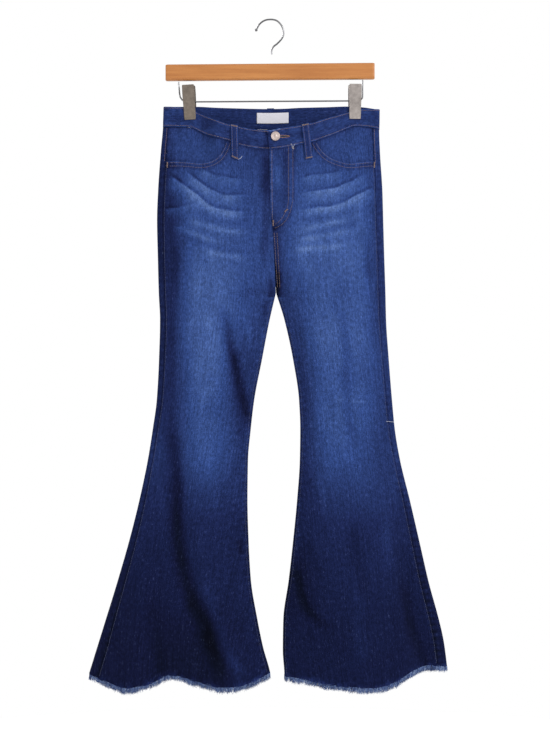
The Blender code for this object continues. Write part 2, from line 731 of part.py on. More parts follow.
def button(group, material):
    """A shank button with a raised rim, standing on the band over the buttonhole."""
    side = 1
    drop = float(drop_at(side, 1, np.float64(10.2), np.float64(-218.0)))
    s = sigma_at(side, 1, np.float64(10.2), drop)
    base = Vector(moved(side, s, drop, np.float64(-0.5 - SEAM_GAP)))
    n = Vector(normals(side, s, drop))
    turn = n.to_track_quat("Z", "Y").to_matrix().to_4x4()
    place = Matrix.Translation(base) @ turn
    profile = (
        (0, 0), (7.4, 0.0), (8.3, 0.8), (8.5, 1.8), (7.9, 2.8), (7.0, 2.9), (6.4, 2.2),
        (3.0, 2.3), (1.2, 2.6), (0, 2.6),
    )  # fmt: skip
    return add_mesh(group, "button", *turned(profile, 20, place), material)


# ---- Hanger ------------------------------------------------------------------
def bar(group, material):
    """A flat wooden bar with rounded edges and softly rounded ends."""
    profile = []
    half_y, half_z, r = BAR_DEPTH / 2, BAR_HEIGHT / 2, 4.0
    for cy, cz, start in ((1, 1, 0), (-1, 1, 90), (-1, -1, 180), (1, -1, 270)):
        for k in range(4):
            a = math.radians(start + 30 * k)
            profile.append((cy * (half_y - r) + r * math.cos(a), cz * (half_z - r) + r * math.sin(a)))
    length = BAR_X[1] - BAR_X[0]
    rings = []
    for t, scale in ((0, 0.86), (1.6, 0.96), (4.0, 1.0), (length - 4.0, 1.0), (length - 1.6, 0.96), (length, 0.86)):
        x = BAR_X[0] + t
        top = BAR_TOP_Z[0] + (BAR_TOP_Z[1] - BAR_TOP_Z[0]) * t / length
        rings.append([(x, y * scale, top - half_z + z * (1 - (1 - scale) * 0.5)) for y, z in profile])
    n = len(profile)
    points = [p for ring in rings for p in ring]
    faces = []
    for i in range(len(rings) - 1):
        for k in range(n):
            a, b = i * n + k, i * n + (k + 1) % n
            faces += [(a, b + n, b), (a, a + n, b + n)]
    faces.append(tuple(range(n)))
    faces.append(tuple(reversed(range((len(rings) - 1) * n, len(rings) * n))))
    tris = np.array([(f[0], f[i], f[i + 1]) for f in faces for i in range(1, len(f) - 1)])
    solid = np.array(points)[tris]
    if np.einsum("ij,ij->i", solid[:, 0], np.cross(solid[:, 1], solid[:, 2])).sum() < 0:
        faces = [f[::-1] for f in faces]
    return add_mesh(group, "hanger_bar", points, faces, material)


def rounded_path(points, turns):
    """Points along a path with each span cut into equal steps on a smooth curve."""
    pts = np.array(points, float)
    along = np.concatenate([[0], np.cumsum(np.linalg.norm(np.diff(pts, axis=0), axis=1))])
    at = np.linspace(0, along[-1], turns)
    return np.stack([through(along, pts[:, k], at) for k in range(pts.shape[1])], -1)


def wire(group, name, points, radius, material):
    data = bpy.data.curves.new(name, "CURVE")
    data.dimensions = "3D"
    data.bevel_depth = radius * MM
    data.bevel_resolution = 2
    data.use_fill_caps = True
    spline = data.splines.new("POLY")
    spline.points.add(len(points) - 1)
    for point, (x, z) in zip(spline.points, points):
        point.co = (x * MM, 0, z * MM, 1)
    data.materials.append(material)
    obj = bpy.data.objects.new(name, data)
    group.objects.link(obj)
    return obj


def hook(group, material):
    """The wire hook and the small ball that finishes its tip."""
    wire(group, "hanger_hook", rounded_path(HOOK, 34), HOOK_WIRE, material)
    r = 2.7
    profile = [(0, -r)] + [
        (r * math.sin(math.radians(a)), -r * math.cos(math.radians(a))) for a in (30, 60, 90, 120, 150)
    ] + [(0, r)]
    tip = np.array([HOOK[0][0], 0, HOOK[0][1]])
    way = np.array([HOOK[0][0] - HOOK[1][0], 0, HOOK[0][1] - HOOK[1][1]])
    centre = tip + way / np.linalg.norm(way) * (r + SEAM_GAP)
    place = Matrix.Translation(Vector(centre))
    add_mesh(group, "hook_tip", *turned(profile, 12, place), material)


def jaw(group, side, face, material):
    """One bent plate of a clip, with its two long edges folded in as flanges."""
    lean = math.radians(CLIP_LEAN[side])
    middle = np.array([CLIP_X[side], 0, CLIP_PIVOT_Z[side]])
    along_axis = np.array([-math.sin(lean), 0, math.cos(lean)])
    across_axis = np.array([math.cos(lean), 0, math.sin(lean)])
    shift = 0.0 if face > 0 else -1.6 * side
    rings = []
    for row in JAW:
        jaw_row = dict(zip(JAW_COLUMNS, row))
        b, m, out, depth = jaw_row["half_width"], JAW_METAL, jaw_row["out"], jaw_row["flange"]
        shape = (
            (-b, out - depth), (-b, out + m * 0.3), (-b + 0.8, out + m), (b - 0.8, out + m),
            (b, out + m * 0.3), (b, out - depth), (b - m, out - depth), (b - m, out),
            (-b + m, out), (-b + m, out - depth),
        )  # fmt: skip
        rings.append([
            middle + along_axis * jaw_row["along"] + across_axis * (u + shift) + np.array([0, -face * v, 0])
            for u, v in shape
        ])
    n = 10
    points = np.array([p for ring in rings for p in ring])
    faces = []
    for i in range(len(rings) - 1):
        for k in range(n):
            a, b = i * n + k, i * n + (k + 1) % n
            faces += [(a, b, b + n), (a, b + n, a + n)]
    cap = [(0, 1, 8), (0, 8, 9), (1, 2, 8), (2, 3, 7), (2, 7, 8), (3, 4, 7), (4, 5, 6), (4, 6, 7)]
    base = (len(rings) - 1) * n
    faces += [tuple(reversed(f)) for f in cap]
    faces += [tuple(v + base for v in f) for f in cap]
    solid = points[np.array(faces)]
    if np.einsum("ij,ij->i", solid[:, 0], np.cross(solid[:, 1], solid[:, 2])).sum() < 0:
        faces = [f[::-1] for f in faces]
    name = f"clip_{'right' if side < 0 else 'left'}_{'front' if face > 0 else 'back'}"
    return add_mesh(group, name, points, faces, material)


def sleeve(group, side, material):
    """The small sleeve round the rod that the two jaws rock on."""
    r_in, r_out, half = ROD_WIRE + 0.7, 3.2, 6.0
    steps = 12
    at = np.array([CLIP_X[side], 0, 0.0])
    rod = np.array(ROD)
    z = np.interp(CLIP_X[side], rod[3:9, 0], rod[3:9, 1])
    ring = [2 * math.pi * k / steps for k in range(steps)]
    points = []
    for x, r in ((-half, r_in), (-half, r_out), (half, r_out), (half, r_in)):
        points += [at + np.array([x, r * math.cos(a), z + r * math.sin(a)]) for a in ring]
    faces = []
    for i in range(4):
        for k in range(steps):
            a, b = i * steps + k, i * steps + (k + 1) % steps
            c, d = (i + 1) % 4 * steps + (k + 1) % steps, (i + 1) % 4 * steps + k
            faces += [(a, b, c), (a, c, d)]
    points = np.array(points)
    solid = points[np.array(faces)]
    if np.einsum("ij,ij->i", solid[:, 0], np.cross(solid[:, 1], solid[:, 2])).sum() < 0:
        faces = [f[::-1] for f in faces]
    return add_mesh(group, f"clip_{'right' if side < 0 else 'left'}_sleeve", points, faces, material)


def build():
    fresh_scene()
    group = bpy.data.collections.new("flared_jeans_on_clip_hanger")
    bpy.context.scene.collection.children.link(group)

    def denim(name):
        return make_material(name, COLOURS[name])

    for side in (-1, 1):
        front_panel(group, side, denim("denim_front"))
        back_panel(group, side, denim("denim_back"))
        yoke(group, side, denim("denim_back"))
        pocket_facing(group, side, denim("denim_dark"))
        back_pocket(group, side, denim("denim_back"))
        fringe(group, side, denim("fringe"))
    waistband(group, denim("denim_band"))
    for row in LOOPS:
        belt_loop(group, row, denim("denim_band"))
    fly_pieces(group, denim("denim_dark"), denim("tape"))
    label(group, denim("label"))
    button(group, make_material("button", COLOURS["button"], 0.8, 0.4))
    bar(group, make_material("wood", COLOURS["wood"], 0.0, 0.45))
    chrome = ("chrome", COLOURS["chrome"], 1.0, 0.25)
    hook(group, make_material(*chrome))
    wire(group, "hanger_rod", ROD, ROD_WIRE, make_material(*chrome))
    for side in (-1, 1):
        pewter = make_material("pewter", COLOURS["pewter"], 1.0, 0.4)
        for face in (1, -1):
            jaw(group, side, face, pewter)
        sleeve(group, side, pewter)


build()
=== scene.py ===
"""The looks of the flared jeans on a clip hanger: washed denim shells over the CAD
solids, with their creases, wash, stitching and frayed hems. Lengths in the tables are
in millimetres and become metres in MM."""

import math

import bpy
import numpy as np
from mathutils import Matrix, Vector


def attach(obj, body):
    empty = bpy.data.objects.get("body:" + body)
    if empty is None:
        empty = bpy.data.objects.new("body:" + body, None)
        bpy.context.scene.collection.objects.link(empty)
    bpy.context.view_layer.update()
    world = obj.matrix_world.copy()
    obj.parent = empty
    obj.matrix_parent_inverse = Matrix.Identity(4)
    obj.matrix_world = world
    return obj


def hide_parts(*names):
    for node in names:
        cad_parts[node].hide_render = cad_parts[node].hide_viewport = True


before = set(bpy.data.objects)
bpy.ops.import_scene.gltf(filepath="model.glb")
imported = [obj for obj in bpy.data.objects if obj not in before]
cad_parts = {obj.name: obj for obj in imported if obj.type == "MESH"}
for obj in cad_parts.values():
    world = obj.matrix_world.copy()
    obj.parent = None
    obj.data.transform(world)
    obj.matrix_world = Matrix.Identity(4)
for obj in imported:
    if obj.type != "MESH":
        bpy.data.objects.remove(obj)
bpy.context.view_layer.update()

MM = 0.001

# ---- Driving sizes ---------------------------------------------------------
CLOTH = 1.2  # wall of one layer of heavy denim
BAND_CLOTH = 2.4  # waistband, doubled denim
LOOP_CLOTH = 1.8  # belt loop, folded denim
TAPE = 1.0  # label and zip tape
SEAM_GAP = 0.3  # between two neighbouring pieces
FOLD_RADIUS = 5.0  # the soft fold down each side of a leg
FOLD_SHARE = 0.12  # share of a panel's width coordinate that runs round the fold

WAIST_TOP = 159.8  # drop of the band's top edge at the side, below the hook
WAIST_SEAM = 197.8  # drop of the band's lower edge at the side
CROTCH = 504.5  # drop of the crotch point
CROTCH_START = 385.0  # drop where the seat starts to divide into legs
HEM = 1213.0  # drop of the cut hem at its mean level
SAG_END = 440.0  # drop where the sag of the waist has faded out
FRINGE = 11.0  # reach of the frayed hem

CLIP_X = {-1: -149.5, 1: 157.5}  # where the two clips hold the band
CLIP_LEAN = {-1: 3.4, 1: -0.6}  # lean of each clip, degrees
PINCH_HALF = 16.0  # half width of the band pressed flat by a clip
PINCH_FADE = 40.0  # reach of the press beyond that
PRESSED = 2.6  # depth of each layer at a clip

# Cross-sections by drop below the hook. Outlines are X; depths are from the
# middle plane to the outer face. side_seam is how far the seam sits in front of
# the side fold.
SECTION_COLUMNS = (
    "drop", "right_out", "right_in", "left_in", "left_out",
    "seat_front", "seat_back", "leg_front", "leg_back", "side_seam",
)  # fmt: skip
SECTIONS = (
    (159.8, -196.5, 1.0, 1.0, 202.5, 24, 9, 18, 18, 9.5),
    (197.8, -198.0, 1.0, 1.0, 202.0, 25, 12, 18, 18, 10.0),
    (240.0, -201.7, 1.5, 1.5, 203.5, 26, 19, 20, 20, 10.5),
    (314.0, -207.0, 2.5, 2.5, 208.0, 28, 26, 22, 22, 11.5),
    (369.0, -209.0, 4.5, 4.5, 209.5, 28, 28, 23, 24, 11.5),
    (440.0, -207.5, 8.0, 8.0, 211.5, 26, 27, 22, 24, 11.0),
    (504.5, -205.8, 11.1, 11.1, 213.6, 22, 24, 21, 23, 11.0),
    (554.0, -203.5, -0.5, 26.5, 214.8, 20, 20, 20, 21, 10.5),
    (628.0, -205.4, -14.8, 42.6, 219.8, 20, 20, 19, 20, 10.0),
    (702.0, -209.5, -29.0, 53.5, 225.7, 20, 20, 18, 19, 9.5),
    (757.0, -217.0, -35.5, 55.8, 231.0, 20, 20, 18, 19, 9.0),
    (813.0, -226.0, -40.5, 55.0, 240.5, 20, 20, 19, 20, 9.0),
    (887.0, -241.5, -41.5, 50.0, 258.5, 20, 20, 22, 22, 10.5),
    (961.0, -260.0, -39.5, 42.8, 275.7, 20, 20, 25, 25, 12.0),
    (1035.0, -281.2, -35.2, 34.5, 292.5, 20, 20, 28, 28, 13.5),
    (1109.0, -303.4, -23.5, 24.5, 310.5, 20, 20, 31, 31, 15.0),
    (1165.0, -320.0, -12.5, 23.5, 321.5, 20, 20, 33, 33, 16.0),
    (1213.0, -334.5, 0.5, 26.5, 327.5, 20, 20, 34, 34, 16.0),
    (1250.0, -345.0, 6.0, 26.0, 332.0, 20, 20, 34, 34, 16.0),
)

# Sag of the waist lines below the level of the side, by X.
SAG_COLUMNS = ("x", "front_top", "front_seam", "back")
SAGS = (
    (-200, 0.5, 0.0, 0.0),
    (-161, 1.5, 0.0, 0.0),
    (-148, 5.0, 0.5, 0.0),
    (-135, 10.5, 6.0, 0.0),
    (-112, 21.5, 17.5, 0.5),
    (-75, 36.0, 28.5, 1.5),
    (-57, 40.0, 36.0, 2.0),
    (-37, 44.0, 40.5, 2.5),
    (-4, 47.0, 44.5, 3.0),
    (24, 42.5, 41.5, 2.5),
    (57, 37.5, 34.5, 0.8),
    (78, 33.0, 30.0, 0.3),
    (109, 22.5, 19.0, -0.3),
    (142, 11.5, 3.5, -0.6),
    (157, 7.5, -1.5, -0.2),
    (174, 5.0, -0.5, 1.2),
    (203, 5.3, 4.5, 5.3),
)

# Drop of the cut hem below its mean level, by share of the leg's width, 0 at the
# side fold and 1 at the inseam.
HEM_COLUMNS = ("share", "right_front", "right_back", "left_front", "left_back")
HEMS = (
    (0.00, -2.5, -5.5, -19.0, -19.0),
    (0.09, 8.0, -2.0, -20.0, -16.0),
    (0.21, 18.0, 3.0, -12.0, -7.0),
    (0.33, 11.0, 4.0, 7.5, -1.0),
    (0.46, -6.0, -4.0, 16.5, 4.0),
    (0.59, 5.0, -3.0, 14.0, 2.0),
    (0.72, 18.0, 2.0, 12.0, -1.0),
    (0.86, 13.0, 0.0, 6.0, -2.0),
    (1.00, -4.5, -6.0, 0.0, -3.0),
)
HEM_FADE = 190.0  # height over which the hem's wave dies out upwards

# The largest folds. Each runs down through four points; relief is how far the
# cloth comes out (+) or goes in (-) at the top and at the foot of the fold, and
# reach is its half width.
FOLD_COLUMNS = (
    "side", "face", "x1", "d1", "x2", "d2", "x3", "d3", "x4", "d4",
    "reach", "relief_top", "relief_foot",
)  # fmt: skip
FOLDS = (
    # wearer's right leg, front
    (-1, 1, -170, 760, -164, 880, -147, 1025, -104, 1222, 19, -2.0, -13.0),
    (-1, 1, -205, 900, -212, 1010, -213, 1110, -196, 1222, 20, 0.0, -10.0),
    (-1, 1, -196, 880, -212, 1000, -238, 1110, -268, 1222, 26, 0.0, 8.0),
    (-1, 1, -110, 900, -96, 1010, -78, 1110, -62, 1222, 26, 0.0, 9.0),
    # wearer's left leg, front
    (1, 1, 232, 880, 245, 1010, 262, 1110, 284, 1222, 19, 0.0, -12.0),
    (1, 1, 44, 985, 52, 1030, 66, 1085, 98, 1130, 12, -3.0, -5.0),
    (1, 1, 165, 900, 172, 1010, 170, 1110, 160, 1222, 44, 0.0, 9.0),
    (1, 1, 62, 1050, 66, 1110, 70, 1160, 72, 1222, 20, 0.0, -6.0),
    # wearer's right leg, back
    (-1, -1, -120, 840, -128, 980, -140, 1100, -158, 1222, 24, 0.0, -13.0),
    (-1, -1, -160, 880, -185, 1000, -210, 1110, -238, 1222, 28, 0.0, 9.0),
    (-1, -1, -70, 900, -66, 1010, -60, 1110, -52, 1222, 24, 0.0, 7.0),
    # wearer's left leg, back
    (1, -1, 140, 820, 150, 960, 165, 1090, 186, 1222, 26, 0.0, -13.0),
    (1, -1, 190, 880, 208, 1000, 230, 1110, 252, 1222, 26, 0.0, 9.0),
    (1, -1, 90, 900, 88, 1010, 84, 1110, 80, 1222, 26, 0.0, 8.0),
)

# The scooped pocket mouth, X from the middle of the body outwards, and drop.
MOUTH_COLUMNS = ("x_right", "x_left", "drop")
MOUTH = (
    (-80.5, 85.3, 226.5),
    (-86.0, 94.0, 241.0),
    (-96.0, 110.0, 255.5),
    (-108.5, 129.5, 263.0),
    (-127.5, 146.0, 266.5),
    (-155.5, 174.5, 263.5),
    (-176.0, 186.0, 262.5),
    (-191.0, 194.5, 262.5),
)

# Levels of the panels' grid rows below the pocket mouth.
PANEL_ROWS = (
    330, 385, 440, 480, 504.5, 530, 580, 640, 702, 760, 813,
    865, 915, 965, 1015, 1060, 1105, 1145, 1182, HEM,
)  # fmt: skip

# The grid columns of a front, as shares of its width outside and inside the inner
# end of the pocket mouth, and how many columns a back has.
MOUTH_SHARES = (0, 0.1, 0.22, 0.35, 0.48, 0.61, 0.75, 0.88, 1)
INNER_SHARES = (0.18, 0.36, 0.55, 0.76, 1)
BACK_COLUMNS = 16

# Belt loops: X of the middle at the top and foot, and drops of top and foot.
LOOP_COLUMNS = ("name", "face", "x_top", "x_foot", "drop_top", "drop_foot")
LOOPS = (
    ("belt_loop_front_right", 1, -65.5, -64.0, 158.6, 227.5),
    ("belt_loop_front_left", 1, 64.5, 72.0, 158.6, 229.5),
    ("belt_loop_back_right", -1, -88.0, -88.0, 161.4, 224.0),
    ("belt_loop_back_left", -1, 92.0, 92.0, 161.4, 224.0),
    ("belt_loop_centre_back", -1, 1.0, 1.0, 158.6, 226.0),
)
LOOP_WIDTH = 13.0
LOOP_LIFT = 1.4  # from the panels' face to the loop, clear of the proud band


# ---- Numbers from the tables -----------------------------------------------
def column(rows, names, name):
    return np.array([row[names.index(name)] for row in rows], float)


def through(xs, ys, at):
    """A smooth curve through the rows, with no overshoot between them."""
    at = np.asarray(at, float)
    step = np.diff(xs)
    rise = np.diff(ys) / step
    slope = np.zeros(len(xs))
    slope[0], slope[-1] = rise[0], rise[-1]
    same = rise[1:] * rise[:-1] > 0
    slope[1:-1][same] = (
        2 * rise[1:][same] * rise[:-1][same] / (rise[1:] + rise[:-1])[same]
    )
    i = np.clip(np.searchsorted(xs, at) - 1, 0, len(xs) - 2)
    t = np.clip((at - xs[i]) / step[i], 0, 1)
    return (
        (1 + 2 * t) * (1 - t) ** 2 * ys[i]
        + t * (1 - t) ** 2 * step[i] * slope[i]
        + t * t * (3 - 2 * t) * ys[i + 1]
        + t * t * (t - 1) * step[i] * slope[i + 1]
    )


def smooth(t):
    t = np.clip(t, 0, 1)
    return t * t * (3 - 2 * t)


SECTION = {name: column(SECTIONS, SECTION_COLUMNS, name) for name in SECTION_COLUMNS}
SAG = {name: column(SAGS, SAG_COLUMNS, name) for name in SAG_COLUMNS}
HEM_WAVE = {name: column(HEMS, HEM_COLUMNS, name) for name in HEM_COLUMNS}


def section(name, drop):
    return through(SECTION["drop"], SECTION[name], drop)


def edges_of(side, drop):
    """X of the side fold and of the inner line of one half, at this drop."""
    leg = "right" if side < 0 else "left"
    drops, lines = SECTION["drop"], SECTION[leg + "_in"]
    above, below = drops <= CROTCH, drops >= CROTCH
    inner = np.where(
        np.asarray(drop) < CROTCH,
        through(drops[above], lines[above], drop),
        through(drops[below], lines[below], drop),
    )
    return section(leg + "_out", drop), inner + side * SEAM_GAP / 2


def share_to_inset(s, width):
    """Distance in from the side fold for a width coordinate s of 0 to 1."""
    r, f = FOLD_RADIUS, FOLD_SHARE
    turn = np.pi / (2 * f)
    return np.where(
        s < f,
        r * (1 - np.cos(turn * np.minimum(s, f))),
        np.where(
            s > 1 - f,
            width - r * (1 - np.cos(turn * np.minimum(1 - s, f))),
            r + (s - f) / (1 - 2 * f) * (width - 2 * r),
        ),
    )


def inset_to_share(inset, width):
    """The width coordinate at a distance in from the side fold."""
    r, f = FOLD_RADIUS, FOLD_SHARE
    turn = np.pi / (2 * f)
    near = np.arccos(np.clip(1 - inset / r, -1, 1)) / turn
    far = 1 - np.arccos(np.clip(1 - (width - inset) / r, -1, 1)) / turn
    mid = f + (inset - r) / (width - 2 * r) * (1 - 2 * f)
    return np.where(inset < r, near, np.where(inset > width - r, far, mid))


def sag_of(front, x, drop):
    top = through(SAG["x"], SAG["front_top"], x)
    seam = through(SAG["x"], SAG["front_seam"], x)
    band = np.clip((drop - WAIST_TOP) / (WAIST_SEAM - WAIST_TOP), 0, 1)
    fade = 1 - smooth((drop - WAIST_SEAM) / (SAG_END - WAIST_SEAM))
    back = through(SAG["x"], SAG["back"], x)
    return np.where(front, top + (seam - top) * band, back) * fade


def hem_of(side, front, w, drop):
    leg = "right" if side < 0 else "left"
    wave = np.where(
        front,
        through(HEM_WAVE["share"], HEM_WAVE[leg + "_front"], w),
        through(HEM_WAVE["share"], HEM_WAVE[leg + "_back"], w),
    )
    return wave * smooth((drop - HEM + HEM_FADE) / HEM_FADE)


def folds_of(side, face, x, drop, w):
    total = np.zeros_like(x)
    for row in FOLDS:
        fold = dict(zip(FOLD_COLUMNS, row))
        if fold["side"] != side:
            continue
        ds = np.array([fold[f"d{i}"] for i in (1, 2, 3, 4)], float)
        xs = np.array([fold[f"x{i}"] for i in (1, 2, 3, 4)], float)
        t = (drop - ds[0]) / (ds[3] - ds[0])
        relief = fold["relief_top"] + (fold["relief_foot"] - fold["relief_top"]) * t
        fade = smooth((drop - ds[0] + 60) / 90) * (1 - smooth((drop - ds[3]) / 60))
        off = (x - through(ds, xs, drop)) / fold["reach"]
        total += np.where(face == fold["face"], relief * fade * np.exp(-off * off), 0)
    return total * smooth(w / 0.10) * smooth((1 - w) / 0.10)


def pinch_of(x, drop):
    """1 where a clip presses the two layers together, fading to 0."""
    press = np.zeros_like(x)
    for side in (-1, 1):
        away = np.abs(x - CLIP_X[side]) - PINCH_HALF
        press = np.maximum(press, 1 - smooth(away / PINCH_FADE))
    return press * (1 - smooth((drop - 190) / 90))


def surface(side, sigma, drop):
    """Outer face of the jeans: points for one half.

    sigma is 0 at the side fold, +1 at the centre front and -1 at the centre back,
    which in a leg are both the inseam.
    """
    sigma, drop = np.broadcast_arrays(
        np.asarray(sigma, float), np.asarray(drop, float)
    )
    face = np.where(sigma >= 0, 1, -1)
    front = face > 0
    s = np.abs(sigma)
    x_out, x_in = edges_of(side, drop)
    width = np.abs(x_in - x_out)
    inset = share_to_inset(s, width)
    w = inset / width
    x = x_out - side * inset
    r = FOLD_RADIUS
    t = np.clip((drop - CROTCH_START) / (CROTCH - CROTCH_START), 0, 1)
    seat = np.sqrt(1 - t * t)
    leg = 1 - seat
    near = r * np.sqrt(1 - np.clip(1 - inset / r, 0, 1) ** 2)
    far = r * (1 - np.sqrt(1 - np.clip(1 - (width - inset) / r, 0, 1) ** 2))
    seat_depth = np.where(
        front, section("seat_front", drop), section("seat_back", drop)
    )
    leg_depth = np.where(front, section("leg_front", drop), section("leg_back", drop))
    half = w / 2
    bulge = seat * (seat_depth - r) * (4 * half * (1 - half)) ** 0.8
    bulge += leg * (leg_depth - r) * 4 * w * (1 - w)
    depth = near + bulge - leg * far
    press = pinch_of(x, drop)
    depth = depth + (np.minimum(depth, PRESSED) - depth) * press
    fold = folds_of(side, face, x, drop, w)
    depth = np.where(fold < 0, np.maximum(depth + fold, np.minimum(depth, 4)), depth + fold)
    depth = depth + SEAM_GAP / 2 * w
    z = -(drop + sag_of(front, x, drop) + hem_of(side, front, w, drop))
    return np.stack([x, -face * depth, z], -1)


def normals(side, sigma, drop):
    """Outward unit normals of that face."""
    sigma, drop = np.broadcast_arrays(
        np.asarray(sigma, float), np.asarray(drop, float)
    )
    e, f = 0.004, 0.5
    inner = np.clip(sigma, -1 + 2 * e, 1 - 2 * e)
    along = surface(side, inner + e, drop) - surface(side, inner - e, drop)
    down = surface(side, inner, drop + f) - surface(side, inner, drop - f)
    n = np.cross(along, down) * side
    n /= np.linalg.norm(n, axis=-1, keepdims=True)
    return n


def moved(side, sigma, drop, inwards):
    """Points of the face moved in along its normal."""
    return surface(side, sigma, drop) - normals(side, sigma, drop) * np.asarray(
        inwards
    )[..., None]


def drop_at(side, face, x, z):
    """The drop coordinate of a point of the face seen at X and Z."""
    drop = -np.asarray(z, float)
    x = np.asarray(x, float)
    for _ in range(40):
        x_out, x_in = edges_of(side, drop)
        w = np.clip((x - x_out) / (x_in - x_out), 0, 1)
        shift = sag_of(face > 0, x, drop) + hem_of(side, face > 0, w, drop)
        drop = 0.5 * drop + 0.5 * (-np.asarray(z, float) - shift)
    return drop


def sigma_at(side, face, x, drop):
    """The width coordinate of a point of the face at X."""
    x_out, x_in = edges_of(side, drop)
    width = np.abs(x_in - x_out)
    inset = np.clip((x_out - x) * side, 0, width)
    return face * inset_to_share(inset, width)


def seam_sigma(side, drop, gap):
    """The side seam, a little way round on the front, less or more a gap."""
    x_out, x_in = edges_of(side, drop)
    width = np.abs(x_in - x_out)
    inset = section("side_seam", drop) + (1.5 if side > 0 else 0) + gap
    return inset_to_share(inset, width)


def yoke_line(side, sigma):
    """Drop of the yoke's lower seam, lower at the centre back."""
    return 243.0 + 34.0 * np.abs(sigma) ** 1.3

# ---- Noise and lines ---------------------------------------------------------
def value_noise(u, v, seed=0.0):
    """Smooth noise of -1 to 1 on a unit lattice."""
    iu, iv = np.floor(u), np.floor(v)
    fu, fv = smooth(u - iu), smooth(v - iv)

    def corner(a, b):
        h = np.sin(a * 127.1 + b * 311.7 + seed * 74.7) * 43758.5453
        return (h - np.floor(h)) * 2 - 1

    top = corner(iu, iv) * (1 - fu) + corner(iu + 1, iv) * fu
    foot = corner(iu, iv + 1) * (1 - fu) + corner(iu + 1, iv + 1) * fu
    return top * (1 - fv) + foot * fv


def fractal(u, v, seed=0.0):
    return (
        value_noise(u, v, seed)
        + 0.5 * value_noise(2.03 * u, 2.03 * v, seed + 3)
        + 0.25 * value_noise(4.1 * u, 4.1 * v, seed + 7)
    ) / 1.75


def from_line(x, z, points):
    """Signed distance to a line, plus to the right of its way, and share along it."""
    pts = np.array(points, float)
    steps = np.diff(pts, axis=0)
    lengths = np.hypot(steps[:, 0], steps[:, 1])
    total = lengths.sum()
    best = np.full(x.shape, 1e9)
    signed = np.zeros(x.shape)
    share = np.zeros(x.shape)
    done = 0.0
    for (px, pz), (dx, dz), length in zip(pts[:-1], steps, lengths):
        rx, rz = x - px, z - pz
        t = np.clip((rx * dx + rz * dz) / length**2, 0, 1)
        ox, oz = rx - t * dx, rz - t * dz
        dist = np.hypot(ox, oz)
        near = dist < best
        best = np.where(near, dist, best)
        side_of = np.where(dx * rz - dz * rx > 0, -1, 1)
        signed = np.where(near, dist * side_of, signed)
        share = np.where(near, (done + t * length) / total, share)
        done += length
    return signed, share


def rounded_line(points, count):
    pts = np.array(points, float)
    along = np.concatenate([[0], np.cumsum(np.hypot(*np.diff(pts, axis=0).T))])
    at = np.linspace(0, along[-1], count)
    return np.stack([through(along, pts[:, k], at) for k in (0, 1)], -1)


